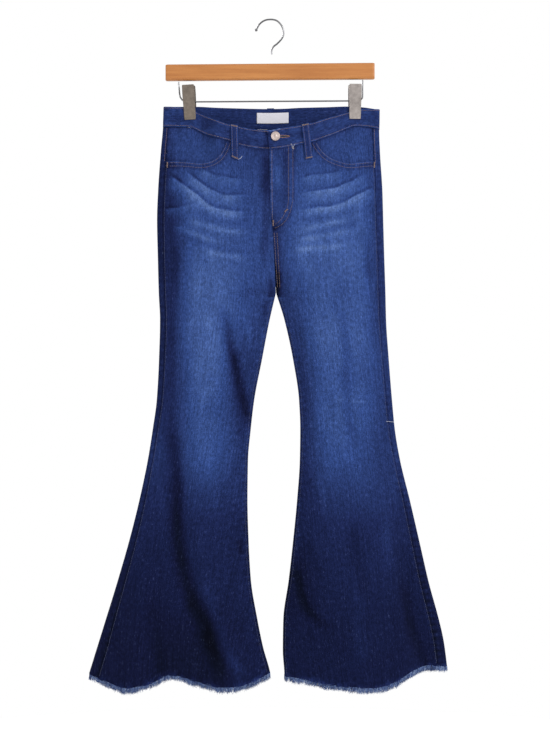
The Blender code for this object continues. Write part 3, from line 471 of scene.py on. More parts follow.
# ---- Creases and wash --------------------------------------------------------
# Each crease is a line of X and Z. relief is how far it stands out or goes in,
# light how much paler (+) or darker (-) its colour is painted: on whiskers that is
# the fade of the wash, in fold valleys painted shade and on fold ridges a painted
# highlight. left and right are its reach to each side of its way, and start and end
# the share of its length over which it fades in and out. A crease whose kind is
# "edge" is sharp on its left.
CREASE_COLUMNS = (
    "kind", "side", "face", "relief", "light", "left", "right", "start", "end", "line",
)  # fmt: skip
CREASES = (
    # whiskers of the wearer's right hip
    ("edge", -1, 1, 0.36, 0.34, 2.6, 16, 0.2, 0.3, ((-133, -273), (-98, -290), (-68.5, -295.5), (-38, -297.5))),
    ("edge", -1, 1, 0.41, 0.40, 2.6, 17, 0.2, 0.25, ((-159, -280.5), (-129.5, -301), (-105.5, -317.5), (-83, -325), (-35, -328))),
    ("edge", -1, 1, 0.45, 0.43, 2.6, 19, 0.1, 0.25, ((-185, -288), (-153.5, -310), (-129.5, -328.5), (-105.5, -346.5), (-79.5, -354.5), (-35, -358.5))),
    ("edge", -1, 1, 0.27, 0.22, 2.6, 14, 0.1, 0.5, ((-195, -352), (-161, -346.5), (-130, -340.5))),
    ("soft", -1, 1, 0.7, 0.30, 5, 7, 0.2, 0.3, ((-158, -366), (-129.5, -377), (-98, -386), (-68.5, -392.5), (-28, -396))),
    ("soft", -1, 1, 0.5, 0.24, 5, 7, 0.2, 0.4, ((-184, -382), (-144.5, -393.5), (-114.5, -406.5), (-80, -415))),
    ("soft", -1, 1, 0.6, 0.26, 5, 8, 0.3, 0.3, ((-132, -420), (-105.5, -430.5), (-61, -438), (-33, -442))),
    ("soft", -1, 1, -0.7, -0.16, 8, 8, 0.3, 0.3, ((-150, -345), (-110, -367), (-70, -375), (-30, -377))),
    ("soft", -1, 1, -0.6, -0.14, 8, 8, 0.3, 0.3, ((-170, -395), (-128, -414), (-86, -424), (-40, -426))),
    # whiskers of the wearer's left hip
    ("edge", 1, 1, 0.36, 0.33, 2.6, 16, 0.3, 0.2, ((48, -300), (70.5, -291), (102, -288), (138, -280))),
    ("edge", 1, 1, 0.41, 0.38, 2.6, 17, 0.3, 0.15, ((44, -324), (87, -318.5), (116.5, -314), (148, -301), (178, -285))),
    ("edge", 1, 1, 0.45, 0.40, 2.6, 19, 0.3, 0.1, ((40, -355), (87, -349), (116.5, -345.5), (148, -332.5), (176, -317.5), (194, -308))),
    ("soft", 1, 1, 0.7, 0.28, 5, 7, 0.3, 0.3, ((50, -390), (87, -383.5), (116.5, -377), (152, -370.5))),
    ("soft", 1, 1, 0.6, 0.26, 5, 7, 0.3, 0.3, ((38, -412), (87, -402), (116.5, -395.5), (168, -389))),
    ("soft", 1, 1, 0.6, 0.26, 5, 8, 0.3, 0.3, ((30, -436), (70.5, -423), (116.5, -419.5), (156, -411.5))),
    ("soft", 1, 1, -0.7, -0.16, 8, 8, 0.3, 0.3, ((44, -372), (90, -366), (130, -358), (172, -340))),
    ("soft", 1, 1, -0.5, -0.12, 7, 7, 0.3, 0.3, ((60, -400), (100, -391), (150, -380), (180, -370))),
    # the dark strips beside the thighs' fade, partly the wash and partly painted shade in their shallow grooves; below
    # the left knee painted shade in a fold and a painted highlight on its ridge; and the pale patch on the fly
    ("soft", -1, 1, -0.8, -0.08, 7, 7, 0.3, 0.3, ((-177, -405), (-175, -470), (-172, -530))),
    ("soft", 1, 1, -0.8, -0.20, 8, 8, 0.3, 0.3, ((178, -395), (179, -440), (181, -500))),
    ("soft", 1, 1, -0.6, -0.22, 9, 9, 0.3, 0.2, ((112, -470), (122, -520), (138, -573), (141, -640), (141, -721), (152, -770), (158, -820))),
    ("soft", 1, 1, -0.8, -0.07, 14, 14, 0.3, 0.3, ((150, -900), (152, -943), (168, -1036), (174, -1090))),
    ("soft", 1, 1, 0.8, 0.07, 12, 12, 0.3, 0.3, ((214, -900), (214, -943), (222, -1036))),
    # the long fold that runs down the right leg from the crotch to the knee, painted darker as shade in its valley and
    # paler as a highlight on its ridge; a thin crease at the right knee painted dark as shade, a thin pale line at the
    # left knee, and the worn patch on the fly
    ("soft", -1, 1, -2.2, -0.34, 9, 12, 0.25, 0.2, ((-90, -505), (-80, -560), (-70, -620), (-62, -650), (-46, -715), (-38, -770))),
    ("soft", -1, 1, 1.0, 0.14, 8, 8, 0.3, 0.4, ((-46, -520), (-44, -560), (-40, -610))),
    ("soft", -1, 1, -0.3, -0.10, 1.6, 1.6, 0.2, 0.3, ((-181, -674), (-150, -690), (-110, -700), (-83, -704))),
    ("soft", 1, 1, 0.3, 0.26, 1.3, 1.3, 0.3, 0.3, ((114, -702), (134, -703), (152, -704), (180, -706), (192, -713))),
    ("soft", 1, 1, 0.3, 0.34, 8, 8, 0.4, 0.4, ((13, -262), (14, -300), (13, -325))),
    # the shade beside the fly and in the hollow of the crotch
    ("soft", -1, 1, -0.3, -0.26, 15, 8, 0.1, 0.2, ((-8, -238), (-8, -330), (-10, -420), (-8, -470))),
    ("soft", 1, 1, 0.0, -0.16, 8, 10, 0.3, 0.1, ((9, -330), (10, -400), (12, -450), (12, -500))),
    ("soft", 1, 1, 0.0, -0.20, 7, 6, 0.1, 0.3, ((28, -236), (28, -330), (20, -368))),
    ("soft", 1, 1, -1.0, -0.42, 8, 9, 0.5, 0.0, ((10, -455), (13, -512))),
    ("soft", -1, 1, -0.8, -0.34, 9, 8, 0.5, 0.0, ((2, -470), (4, -512))),
    # creases that run from the crotch, painted darker as shade in their hollows
    ("soft", 1, 1, -1.2, -0.22, 6, 6, 0.5, 0.0, ((7.0, -436), (9, -470), (12, -506))),
    ("soft", -1, 1, -1.4, -0.16, 7, 7, 0.3, 0.6, ((2, -500), (-8, -535), (-18, -590))),
    ("soft", 1, 1, -1.0, -0.10, 8, 8, 0.3, 0.6, ((22, -502), (60, -520), (110, -528))),
    ("soft", -1, 1, -0.9, -0.08, 8, 8, 0.3, 0.6, ((-4, -496), (-50, -508), (-100, -512))),
    # soft bends at the knees, painted a little darker as shade in their hollows
    ("soft", -1, 1, -1.5, -0.05, 16, 16, 0.4, 0.4, ((-190, -655), (-130, -668), (-60, -660))),
    ("soft", -1, 1, -1.3, -0.05, 14, 14, 0.4, 0.4, ((-60, -715), (-110, -728), (-170, -722))),
    ("soft", 1, 1, -1.5, -0.05, 16, 16, 0.4, 0.4, ((70, -648), (140, -662), (205, -650))),
    ("soft", 1, 1, -1.2, -0.05, 14, 14, 0.4, 0.4, ((80, -700), (140, -716), (200, -712))),
    ("soft", -1, 1, -1.0, -0.10, 5, 7, 0.3, 0.5, ((-61, -752), (-52, -764), (-43, -782))),
    ("soft", -1, 1, -1.2, -0.14, 4, 6, 0.3, 0.3, ((-56, -955), (-54, -972), (-50, -992))),
    # the folds of the flares, drawn closer than on the solid, with painted shade in their valleys and painted
    # highlights on their ridges
    ("soft", -1, 1, -3.2, -0.24, 11, 14, 0.2, 0.2, ((-194, -711), (-180, -760), (-173, -841), (-171, -933), (-160, -1002), (-146, -1060), (-114, -1125), (-104, -1165), (-92, -1190), (-60, -1224))),
    ("soft", -1, 1, 1.8, 0.10, 12, 12, 0.3, 0.1, ((-129.5, -998), (-102, -1094), (-74, -1178), (-37, -1211))),
    ("soft", -1, 1, -1.6, -0.06, 8, 10, 0.3, 0.0, ((-222, -1040), (-213, -1104), (-199, -1210))),
    ("soft", 1, 1, -2.4, -0.13, 6, 10, 0.2, 0.3, ((40.5, -1000), (50, -1026), (65, -1081), (92.5, -1109), (122, -1120))),
    ("soft", 1, 1, -1.8, -0.10, 8, 10, 0.4, 0.0, ((238, -1000), (250, -1063), (268, -1141), (292, -1200))),
    ("soft", 1, 1, 1.2, 0.05, 14, 14, 0.4, 0.2, ((150, -980), (160, -1060), (166, -1150), (160, -1215))),
    # back: seat, thighs and the backs of the knees; the creases of the seat and the long folds of the lower legs are
    # painted darker as shade, and the pale marks at the backs of the knees are fades of the wash
    ("soft", -1, -1, -1.6, -0.10, 9, 9, 0.3, 0.4, ((-12, -470), (-60, -478), (-120, -468))),
    ("soft", -1, -1, -1.5, -0.10, 9, 9, 0.3, 0.4, ((-10, -500), (-60, -512), (-130, -506))),
    ("soft", 1, -1, -1.6, -0.10, 9, 9, 0.3, 0.4, ((22, -468), (70, -480), (132, -471))),
    ("soft", 1, -1, -1.4, -0.10, 9, 9, 0.3, 0.4, ((20, -503), (80, -514), (140, -505))),
    ("edge", -1, -1, 1.0, 0.22, 4, 10, 0.2, 0.2, ((-190, -640), (-150, -652), (-100, -648), (-50, -655))),
    ("edge", -1, -1, 1.0, 0.22, 4, 10, 0.2, 0.2, ((-186, -676), (-130, -690), (-80, -684), (-45, -690))),
    ("edge", -1, -1, 0.9, 0.18, 4, 10, 0.2, 0.3, ((-180, -712), (-140, -724), (-90, -720))),
    ("edge", 1, -1, 1.0, 0.22, 4, 10, 0.2, 0.2, ((62, -648), (110, -656), (160, -650), (204, -657))),
    ("edge", 1, -1, 1.0, 0.22, 4, 10, 0.2, 0.2, ((66, -684), (120, -694), (170, -688), (206, -690))),
    ("edge", 1, -1, 0.9, 0.18, 4, 10, 0.3, 0.2, ((104, -718), (150, -727), (200, -720))),
    ("soft", -1, -1, -2.2, -0.08, 10, 12, 0.3, 0.1, ((-120, -860), (-128, -980), (-140, -1100), (-158, -1215))),
    ("soft", 1, -1, -2.2, -0.08, 10, 12, 0.3, 0.1, ((140, -850), (150, -960), (165, -1090), (186, -1210))),
)

# The wash down the legs, 0 dark indigo to 1 pale. Across a leg it runs from the
# outer value to the middle's between X a and X b, and from the middle's to the
# inner value between X c and X d. The pale middle and darker sides are partly the
# real fade and partly painted shade where the leg rounds away from the light.
WASH_COLUMNS = ("z", "outer", "middle", "inner", "a", "b", "c", "d")
WASH_RIGHT = (
    (-1260, 0.11, 0.05, 0.17, -260, -150, -100, -60),
    (-1184, 0.12, 0.06, 0.18, -250, -150, -100, -60),
    (-1128, 0.13, 0.10, 0.18, -240, -150, -100, -60),
    (-1036, 0.18, 0.23, 0.23, -200, -130, -100, -40),
    (-943, 0.25, 0.27, 0.24, -190, -130, -100, -45),
    (-869, 0.33, 0.47, 0.37, -185, -125, -112, -60),
    (-795, 0.42, 0.86, 0.42, -182, -122, -112, -50),
    (-721, 0.32, 0.94, 0.40, -188, -122, -112, -58),
    (-647, 0.31, 1.04, 0.44, -188, -124, -104, -60),
    (-573, 0.31, 1.10, 0.52, -184, -132, -112, -30),
    (-500, 0.31, 1.08, 0.62, -184, -132, -112, -10),
    (-425, 0.27, 0.98, 0.76, -182, -128, -98, -14),
    (-350, 0.29, 0.84, 0.66, -188, -140, -90, -14),
    (-290, 0.29, 0.70, 0.56, -195, -150, -80, -10),
    (-240, 0.34, 0.60, 0.50, -198, -160, -70, -10),
    (-150, 0.42, 0.54, 0.50, -198, -160, -70, -10),
)
WASH_LEFT = (
    (-1260, 0.14, 0.15, 0.15, 280, 200, 120, 60),
    (-1184, 0.15, 0.16, 0.16, 280, 200, 120, 60),
    (-1128, 0.16, 0.17, 0.15, 270, 200, 120, 60),
    (-1036, 0.18, 0.23, 0.10, 270, 200, 110, 50),
    (-943, 0.26, 0.29, 0.22, 260, 190, 110, 50),
    (-869, 0.38, 0.48, 0.28, 245, 170, 108, 62),
    (-795, 0.44, 0.78, 0.34, 222, 140, 118, 62),
    (-721, 0.44, 0.93, 0.36, 218, 150, 106, 62),
    (-647, 0.50, 0.92, 0.40, 218, 160, 104, 56),
    (-573, 0.44, 0.98, 0.42, 208, 165, 96, 40),
    (-500, 0.44, 0.90, 0.50, 206, 165, 84, 24),
    (-425, 0.44, 0.98, 0.50, 200, 168, 62, 8),
    (-350, 0.46, 0.86, 0.50, 205, 160, 66, 10),
    (-290, 0.45, 0.72, 0.48, 205, 165, 70, 10),
    (-240, 0.46, 0.62, 0.50, 205, 165, 70, 10),
    (-150, 0.48, 0.56, 0.50, 205, 165, 70, 10),
)
WASH_AT = {
    -1: {name: column(WASH_RIGHT, WASH_COLUMNS, name) for name in WASH_COLUMNS},
    1: {name: column(WASH_LEFT, WASH_COLUMNS, name) for name in WASH_COLUMNS},
}
BACK_SHARE = 0.86  # how pale the back's middle is beside the front's

# Denim shades along the wash, as seen in even light: wash, then red, green, blue
# on the 0 to 255 screen scale.
SHADES = (
    (-0.10, 9, 12, 28),
    (0.00, 13, 18, 40),
    (0.12, 19, 24, 57),
    (0.20, 23, 31, 69),
    (0.32, 31, 42, 88),
    (0.50, 42, 60, 114),
    (0.75, 52, 76, 138),
    (0.90, 59, 84, 146),
    (1.10, 72, 99, 162),
    (1.50, 106, 134, 192),
    (2.00, 150, 172, 214),
)
ALBEDO = 0.62  # reflectance of a surface that looks white in this light
DENIM_LEVEL = 0.505  # the same for denim, whose pile sends light back


def to_linear(v):
    v = np.asarray(v, float) / 255
    return np.where(v <= 0.04045, v / 12.92, ((v + 0.055) / 1.055) ** 2.4)


SHADE_AT = np.array([row[0] for row in SHADES])
SHADE_RGB = to_linear([row[1:] for row in SHADES])


def shade(wash_and_shading):
    return np.stack(
        [np.interp(wash_and_shading, SHADE_AT, SHADE_RGB[:, k]) for k in range(3)], -1
    ) * DENIM_LEVEL


def screen(r, g, b, level=ALBEDO):
    return tuple(float(v) for v in to_linear([r, g, b]) * level)


def wash_of(side, face, x, z):
    at = {name: through(WASH_AT[side]["z"], WASH_AT[side][name], z) for name in WASH_COLUMNS[1:]}
    middle = np.where(face > 0, at["middle"], at["middle"] * BACK_SHARE)
    rise = smooth((x - at["a"]) / (at["b"] - at["a"]))
    fall = smooth((x - at["c"]) / (at["d"] - at["c"]))
    wash_and_shading = at["outer"] + (middle - at["outer"]) * rise
    return wash_and_shading + (at["inner"] - middle) * fall


def creases_of(side, face, x, z):
    """(relief, light) of the listed creases at points of one half."""
    relief = np.zeros(x.shape)
    light = np.zeros(x.shape)
    for row in CREASES:
        crease = dict(zip(CREASE_COLUMNS, row))
        if crease["side"] != side:
            continue
        line = rounded_line(crease["line"], 14)
        reach = 3 * max(crease["left"], crease["right"])
        near = (
            (face == crease["face"])
            & (x > line[:, 0].min() - reach) & (x < line[:, 0].max() + reach)
            & (z > line[:, 1].min() - reach) & (z < line[:, 1].max() + reach)
        )  # fmt: skip
        if not near.any():
            continue
        # A hand-drawn wander keeps the line from looking ruled.
        wander = 1.3 * value_noise(x[near] / 17, z[near] / 17, 5)
        off, share = from_line(x[near], z[near], line)
        off = off + wander
        fade = smooth(share / max(crease["start"], 1e-3)) * smooth(
            (1 - share) / max(crease["end"], 1e-3)
        )
        end = np.where(share < 1e-6, 0, np.where(share > 1 - 1e-6, 0, 1))
        if crease["start"] == 0:
            end = np.where(share < 1e-6, 1, end)
        if crease["end"] == 0:
            end = np.where(share > 1 - 1e-6, 1, end)
        fade = fade * end * (1 + 0.3 * value_noise(x[near] / 31, z[near] / 31, 9))
        if crease["kind"] == "edge":
            right = np.exp(-((off / crease["right"]) ** 2)) * smooth((off + 1.6) / 2.4)
            left = np.exp(-(((off + 3.2) / crease["left"]) ** 2)) * smooth((1.2 - off) / 2.4)
            light[near] += fade * crease["light"] * (right - 0.55 * left)
            relief[near] += fade * crease["relief"] * (
                np.exp(-(((off - 3) / 5) ** 2)) - 0.8 * np.exp(-(((off + 4) / 4) ** 2))
            )
        else:
            across = np.where(off < 0, off / crease["left"], off / crease["right"])
            profile = np.exp(-(across**2))
            light[near] += fade * crease["light"] * profile
            relief[near] += fade * crease["relief"] * profile
    return relief, light


FLY_J_INNER = ((34, -236.5), (34, -332.5), (31.5, -349), (25, -364), (16.5, -375), (7.5, -381.5))
FLY_J_OUTER = ((42, -236.5), (42, -332.5), (39, -350), (32, -367.5), (21.5, -380.5), (7.5, -387.5))


def mouth_line(side, out=0.0):
    """The pocket mouth as X and Z points, moved into the panel by out."""
    name = "x_right" if side < 0 else "x_left"
    xs = column(MOUTH, MOUTH_COLUMNS, name)
    line = rounded_line(np.stack([xs, -column(MOUTH, MOUTH_COLUMNS, "drop")], -1), 40)
    if out:
        way = np.gradient(line, axis=0)
        way /= np.hypot(*way.T)[:, None]
        normal = np.stack([way[:, 1], -way[:, 0]], -1) * (1 if side > 0 else -1)
        line = line + normal * out
    return line


def look_of(side, sigma, drop, piece):
    """(relief, wash and painted shading) at each point of a denim piece, by its place on the jeans."""
    base = surface(side, sigma, drop)
    x, z = base[..., 0], base[..., 2]
    face = np.where(np.asarray(sigma) >= 0, 1, -1)
    x_out, x_in = edges_of(side, drop)
    width = np.abs(x_in - x_out)
    inset = np.abs(x - x_out)
    relief, light = creases_of(side, face, x, z)
    wash_and_shading = wash_of(side, face, x, z)
    # Cloth is never quite flat: wide, low swells and short drags down the cloth.
    relief = relief + 0.55 * fractal(x / 46, z / 75, 1 + side + face)
    relief = relief + 0.16 * fractal(x / 11, z / 17, 4 + side + face)
    wash_and_shading = wash_and_shading + light
    wash_and_shading = wash_and_shading * (1 + 0.10 * fractal(x / 9, z / 14, 2 + side) + 0.07 * fractal(x / 33, z / 60, 8))
    # Roping beside the side seam, the inseam and the centre seam.
    seam = section("side_seam", drop) + (1.5 if side > 0 else 0)
    puckers = np.sin(z / 11.5 * 2 * np.pi + 2.2 * value_noise(z / 23, x * 0, 3 + side))
    puckers = puckers + 0.5 * value_noise(z / 4.5, x / 9, 12)
    past = np.where(face > 0, inset - seam, -inset - seam)
    low = smooth((-z - 190) / 60)
    hide = np.exp(-(((past + 5) / 5.5) ** 2))
    near = np.exp(-(((past - 3) / 4.5) ** 2))
    rope = low * np.where(side > 0, 0.3 + 0.7 * smooth((-z - 700) / 250), 0.35)
    relief = relief + (0.40 * hide + 0.25 * near) * puckers * rope
    wash_and_shading = wash_and_shading + (0.09 * hide + 0.05 * near) * puckers * rope
    # Painted shade: a little darker in the trough behind the seam's ridge, and a darker line in the seam's groove.
    wash_and_shading = wash_and_shading - 0.05 * hide * low
    seam_groove_shade = np.exp(-((past / 1.6) ** 2))
    wash_and_shading = wash_and_shading - 0.12 * seam_groove_shade
    if piece in ("front", "facing", "yoke"):
        # Painted shadow: a dark line just under the band's lower edge, where the band shades the panel below.
        under = drop - WAIST_SEAM
        wash_and_shading = wash_and_shading - 0.16 * np.exp(-((under / 2.2) ** 2)) - 0.08 * np.exp(-((under / 8) ** 2))
    if piece in ("front", "back"):
        relief = relief + (0.55 if piece == "front" else 0.0) * smooth(past / 1.5) * (
            1 - smooth((past - 7) / 5)
        ) * np.where(face > 0, 1, 0)
        inner = np.where(drop > CROTCH, width - inset, 99)
        inseam = np.exp(-(((inner - 6) / 5) ** 2))
        relief = relief + 0.4 * inseam * puckers
        # The inseam's groove is painted darker, as shade.
        wash_and_shading = wash_and_shading + 0.05 * inseam * puckers - 0.10 * np.exp(-((inner / 2.0) ** 2))
        # Puckers and a paler edge along the raw hem.
        up = HEM - drop
        ripple = value_noise(x / 7, up / 30, 21)
        relief = relief + 0.6 * ripple * np.exp(-((up / 22) ** 2))
        wash_and_shading = wash_and_shading + (0.10 + 0.16 * ripple) * np.exp(-((up / 7) ** 2))
    if piece == "front":
        off, share = from_line(x, z, mouth_line(side))
        hemmed = np.abs(off)
        inside = (hemmed < 14) & (z < -200) & (z > -300)
        lip = np.where(inside, 1 - smooth((hemmed - 8.5) / 3), 0)
        relief = relief + 0.7 * lip
        worn = 0.14 if side < 0 else 0.14 + 0.45 * np.exp(-(((x - 92) / 12) ** 2))
        wash_and_shading = wash_and_shading + np.where(inside, worn * np.exp(-((hemmed / 1.5) ** 2)), 0)
        # Painted shade at the foot of the lip's step, and a darker strip between the two rows of stitching.
        wash_and_shading = wash_and_shading - np.where(inside, 0.16 * np.exp(-(((hemmed - 11) / 3) ** 2)), 0)
        wash_and_shading = wash_and_shading - np.where(inside, 0.18 * np.exp(-(((hemmed - 5.5) / 2.8) ** 2)), 0)
        puck = value_noise(x / 5, z / 5, 31)
        wash_and_shading = wash_and_shading + np.where(inside, 0.10 * puck * lip, 0)
        # The left front laps over the right at the fly, down to the J-stitch.
        middle = np.abs(x_in - x)
        fly = 1 - smooth((drop - 330) / 45)
        if side > 0:
            edge = np.exp(-((middle / 1.7) ** 2)) * fly
            j, _ = from_line(x, z, rounded_line(FLY_J_OUTER, 30))
            flap = smooth((j - 0) / 3) * (drop < 384) * (x < 44)
            relief = relief + 0.9 * flap + 0.3 * edge
            wash_and_shading = wash_and_shading + 0.28 * edge + 0.05 * flap
            # Painted shade at the foot of the flap's edge, and along the sunk rows of the J-stitch below.
            wash_and_shading = wash_and_shading - 0.13 * np.exp(-(((j + 2) / 3) ** 2)) * (drop < 388)
            inner_j, _ = from_line(x, z, rounded_line(FLY_J_INNER, 30))
            rows = np.exp(-((inner_j / 2.0) ** 2)) + np.exp(-((j / 1.6) ** 2))
            wash_and_shading = wash_and_shading - 0.10 * rows * (drop < 388)
            worn = value_noise(x / 3, z / 3.5, 51) * np.exp(-(((j - 3) / 7) ** 2))
            wash_and_shading = wash_and_shading + 0.13 * worn * (drop < 388)
        else:
            # Painted shade where the right front runs in under the left front's flap.
            under = np.exp(-((middle / 4) ** 2))
            relief = relief - 0.9 * under * fly
            wash_and_shading = wash_and_shading - 0.20 * under * fly
        # Below the fly, and down the centre of the back, the joined edges show as a darker line painted in the seam's
        # groove, as shade.
        wash_and_shading = wash_and_shading - 0.08 * np.exp(-((middle / 1.6) ** 2)) * (1 - fly) * (drop < CROTCH)
    if piece in ("back", "yoke"):
        middle = np.abs(x_in - x)
        # Painted shade in the centre back seam's groove.
        centre_seam_shade = np.exp(-((middle / 1.6) ** 2)) * (drop < CROTCH) * (face < 0)
        wash_and_shading = wash_and_shading - 0.10 * centre_seam_shade
        beside = np.exp(-(((middle - 5) / 3) ** 2)) * (drop < CROTCH) * (face < 0)
        wash_and_shading = wash_and_shading + 0.10 * beside * (1 + 0.6 * value_noise(z / 5, z * 0, 14))
        off = drop - yoke_line(side, sigma)
        near_yoke = (face < 0).astype(float)
        wash_and_shading = wash_and_shading + 0.10 * near_yoke * np.exp(-(((off - 5) / 3.5) ** 2)) * (
            1 + 0.7 * value_noise(x / 5, x * 0, 15)
        )
        # Painted shade in the yoke seam's groove.
        wash_and_shading = wash_and_shading - 0.12 * near_yoke * np.exp(-((off / 1.6) ** 2))
        if piece == "back":
            relief = relief + 0.5 * near_yoke * (1 - smooth((off - 8) / 4))
    return relief, wash_and_shading


def lifted(side, sigma, drop, relief, inwards=0.0):
    """The cloth moved out by its relief, which dies away where it turns edge-on."""
    out = normals(side, sigma, drop)
    turn = smooth(np.abs(out[..., 1]) / 0.75)
    return surface(side, sigma, drop) + out * (np.asarray(relief) * turn - inwards)[..., None]


# ---- Materials ---------------------------------------------------------------
def new_material(name):
    material = bpy.data.materials.new(name)
    material.use_nodes = True
    nodes = material.node_tree.nodes
    links = material.node_tree.links
    shader = nodes["Principled BSDF"]
    return material, nodes, links, shader


def math_node(nodes, links, operation, a, b=None, clamp=False):
    node = nodes.new("ShaderNodeMath")
    node.operation = operation
    node.use_clamp = clamp
    for i, value in enumerate((a, b)):
        if value is None:
            continue
        if isinstance(value, (int, float)):
            node.inputs[i].default_value = value
        else:
            links.new(value, node.inputs[i])
    return node.outputs[0]


def noise_node(nodes, links, vector, scale, detail=2.0, roughness=0.5, stretch=None):
    if stretch:
        mapping = nodes.new("ShaderNodeMapping")
        mapping.inputs["Scale"].default_value = stretch
        links.new(vector, mapping.inputs["Vector"])
        vector = mapping.outputs[0]
    node = nodes.new("ShaderNodeTexNoise")
    node.inputs["Scale"].default_value = scale
    node.inputs["Detail"].default_value = detail
    node.inputs["Roughness"].default_value = roughness
    links.new(vector, node.inputs["Vector"])
    return node.outputs["Fac"]


def denim_material(name, inside=False):
    """Woven denim. Its colour comes from the wash painted on the cloth, which holds painted shade and
    highlights too, and slubs, mottling and twill are worked out from the cloth's own flat coordinates."""
    material, nodes, links, shader = new_material(name)
    uv = nodes.new("ShaderNodeUVMap").outputs[0]
    # Coordinates are in metres of cloth: X across, Y down the warp.
    slub = noise_node(nodes, links, uv, 1.0, 2, 0.5, (900, 150, 1))
    fine = noise_node(nodes, links, uv, 1.0, 2, 0.6, (700, 560, 1))
    mottle = noise_node(nodes, links, uv, 1.0, 3, 0.55, (150, 120, 1))
    weft = noise_node(nodes, links, uv, 1.0, 2, 0.6, (90, 900, 1))
    total = math_node(nodes, links, "MULTIPLY", slub, 0.95)
    total = math_node(nodes, links, "ADD", total, math_node(nodes, links, "MULTIPLY", fine, 0.75))
    total = math_node(nodes, links, "ADD", total, math_node(nodes, links, "MULTIPLY", mottle, 0.50))
    total = math_node(nodes, links, "ADD", total, math_node(nodes, links, "MULTIPLY", weft, 0.30))
    streak = noise_node(nodes, links, uv, 1.0, 2, 0.5, (430, 13, 1))
    total = math_node(nodes, links, "ADD", total, math_node(nodes, links, "MULTIPLY", streak, 0.55))
    # Their sum is about 1.52 at its mean.
    spread = math_node(nodes, links, "MULTIPLY", math_node(nodes, links, "SUBTRACT", total, 1.52), 2.2)
    gain = math_node(nodes, links, "MAXIMUM", math_node(nodes, links, "ADD", spread, 1.0), 0.66)
    if inside:
        colour = nodes.new("ShaderNodeRGB").outputs[0]
        colour.default_value = (*screen(48, 60, 108), 1)
    else:
        attribute = nodes.new("ShaderNodeAttribute")
        attribute.attribute_name = "wash_and_shading"
        colour = attribute.outputs["Color"]
    scale = nodes.new("ShaderNodeVectorMath")
    scale.operation = "SCALE"
    links.new(colour, scale.inputs[0])
    links.new(gain, scale.inputs["Scale"])
    # Worn high threads show the pale weft.
    pale = nodes.new("ShaderNodeMix")
    pale.data_type = "RGBA"
    pale.inputs["B"].default_value = (*screen(150, 168, 205), 1)
    high = math_node(nodes, links, "MULTIPLY", math_node(nodes, links, "SUBTRACT", total, 1.74), 0.6, True)
    links.new(high, pale.inputs["Factor"])
    links.new(scale.outputs[0], pale.inputs["A"])
    links.new(pale.outputs["Result"], shader.inputs["Base Color"])
    wave = nodes.new("ShaderNodeTexWave")
    wave.wave_type = "BANDS"
    wave.bands_direction = "DIAGONAL"
    wave.inputs["Scale"].default_value = 1.0
    wave.inputs["Distortion"].default_value = 0.6
    twill = nodes.new("ShaderNodeMapping")
    twill.inputs["Scale"].default_value = (260, 180, 1)
    links.new(uv, twill.inputs["Vector"])
    links.new(twill.outputs[0], wave.inputs["Vector"])
    height = math_node(nodes, links, "ADD", math_node(nodes, links, "MULTIPLY", wave.outputs["Fac"], 0.4), total)
    bump = nodes.new("ShaderNodeBump")
    bump.inputs["Strength"].default_value = 0.55
    bump.inputs["Distance"].default_value = 0.00035
    links.new(height, bump.inputs["Height"])
    links.new(bump.outputs[0], shader.inputs["Normal"])
    shader.inputs["Roughness"].default_value = 0.92
    shader.inputs["Specular IOR Level"].default_value = 0.02
    shader.inputs["Sheen Weight"].default_value = 0.02
    shader.inputs["Sheen Roughness"].default_value = 0.6
    shader.inputs["Sheen Tint"].default_value = (0.35, 0.45, 0.75, 1)
    return material


def thread_material(name, colour, spread=0.35):
    material, nodes, links, shader = new_material(name)
    coords = nodes.new("ShaderNodeTexCoord").outputs["Object"]
    mottle = noise_node(nodes, links, coords, 420, 2)
    gain = math_node(nodes, links, "ADD", math_node(nodes, links, "MULTIPLY", mottle, 2 * spread), 1 - spread)
    scale = nodes.new("ShaderNodeVectorMath")
    scale.operation = "SCALE"
    scale.inputs[0].default_value = colour
    links.new(gain, scale.inputs["Scale"])
    links.new(scale.outputs[0], shader.inputs["Base Color"])
    shader.inputs["Roughness"].default_value = 0.75
    shader.inputs["Sheen Weight"].default_value = 0.15
    return material


def fringe_material():
    material, nodes, links, shader = new_material("frayed_threads")
    attribute = nodes.new("ShaderNodeAttribute")
    attribute.attribute_name = "wash_and_shading"
    coords = nodes.new("ShaderNodeTexCoord").outputs["Object"]
    mottle = noise_node(nodes, links, coords, 700, 2)
    gain = math_node(nodes, links, "ADD", math_node(nodes, links, "MULTIPLY", mottle, 0.6), 0.7)
    scale = nodes.new("ShaderNodeVectorMath")
    scale.operation = "SCALE"
    links.new(attribute.outputs["Color"], scale.inputs[0])
    links.new(gain, scale.inputs["Scale"])
    links.new(scale.outputs[0], shader.inputs["Base Color"])
    shader.inputs["Roughness"].default_value = 0.9
    return material


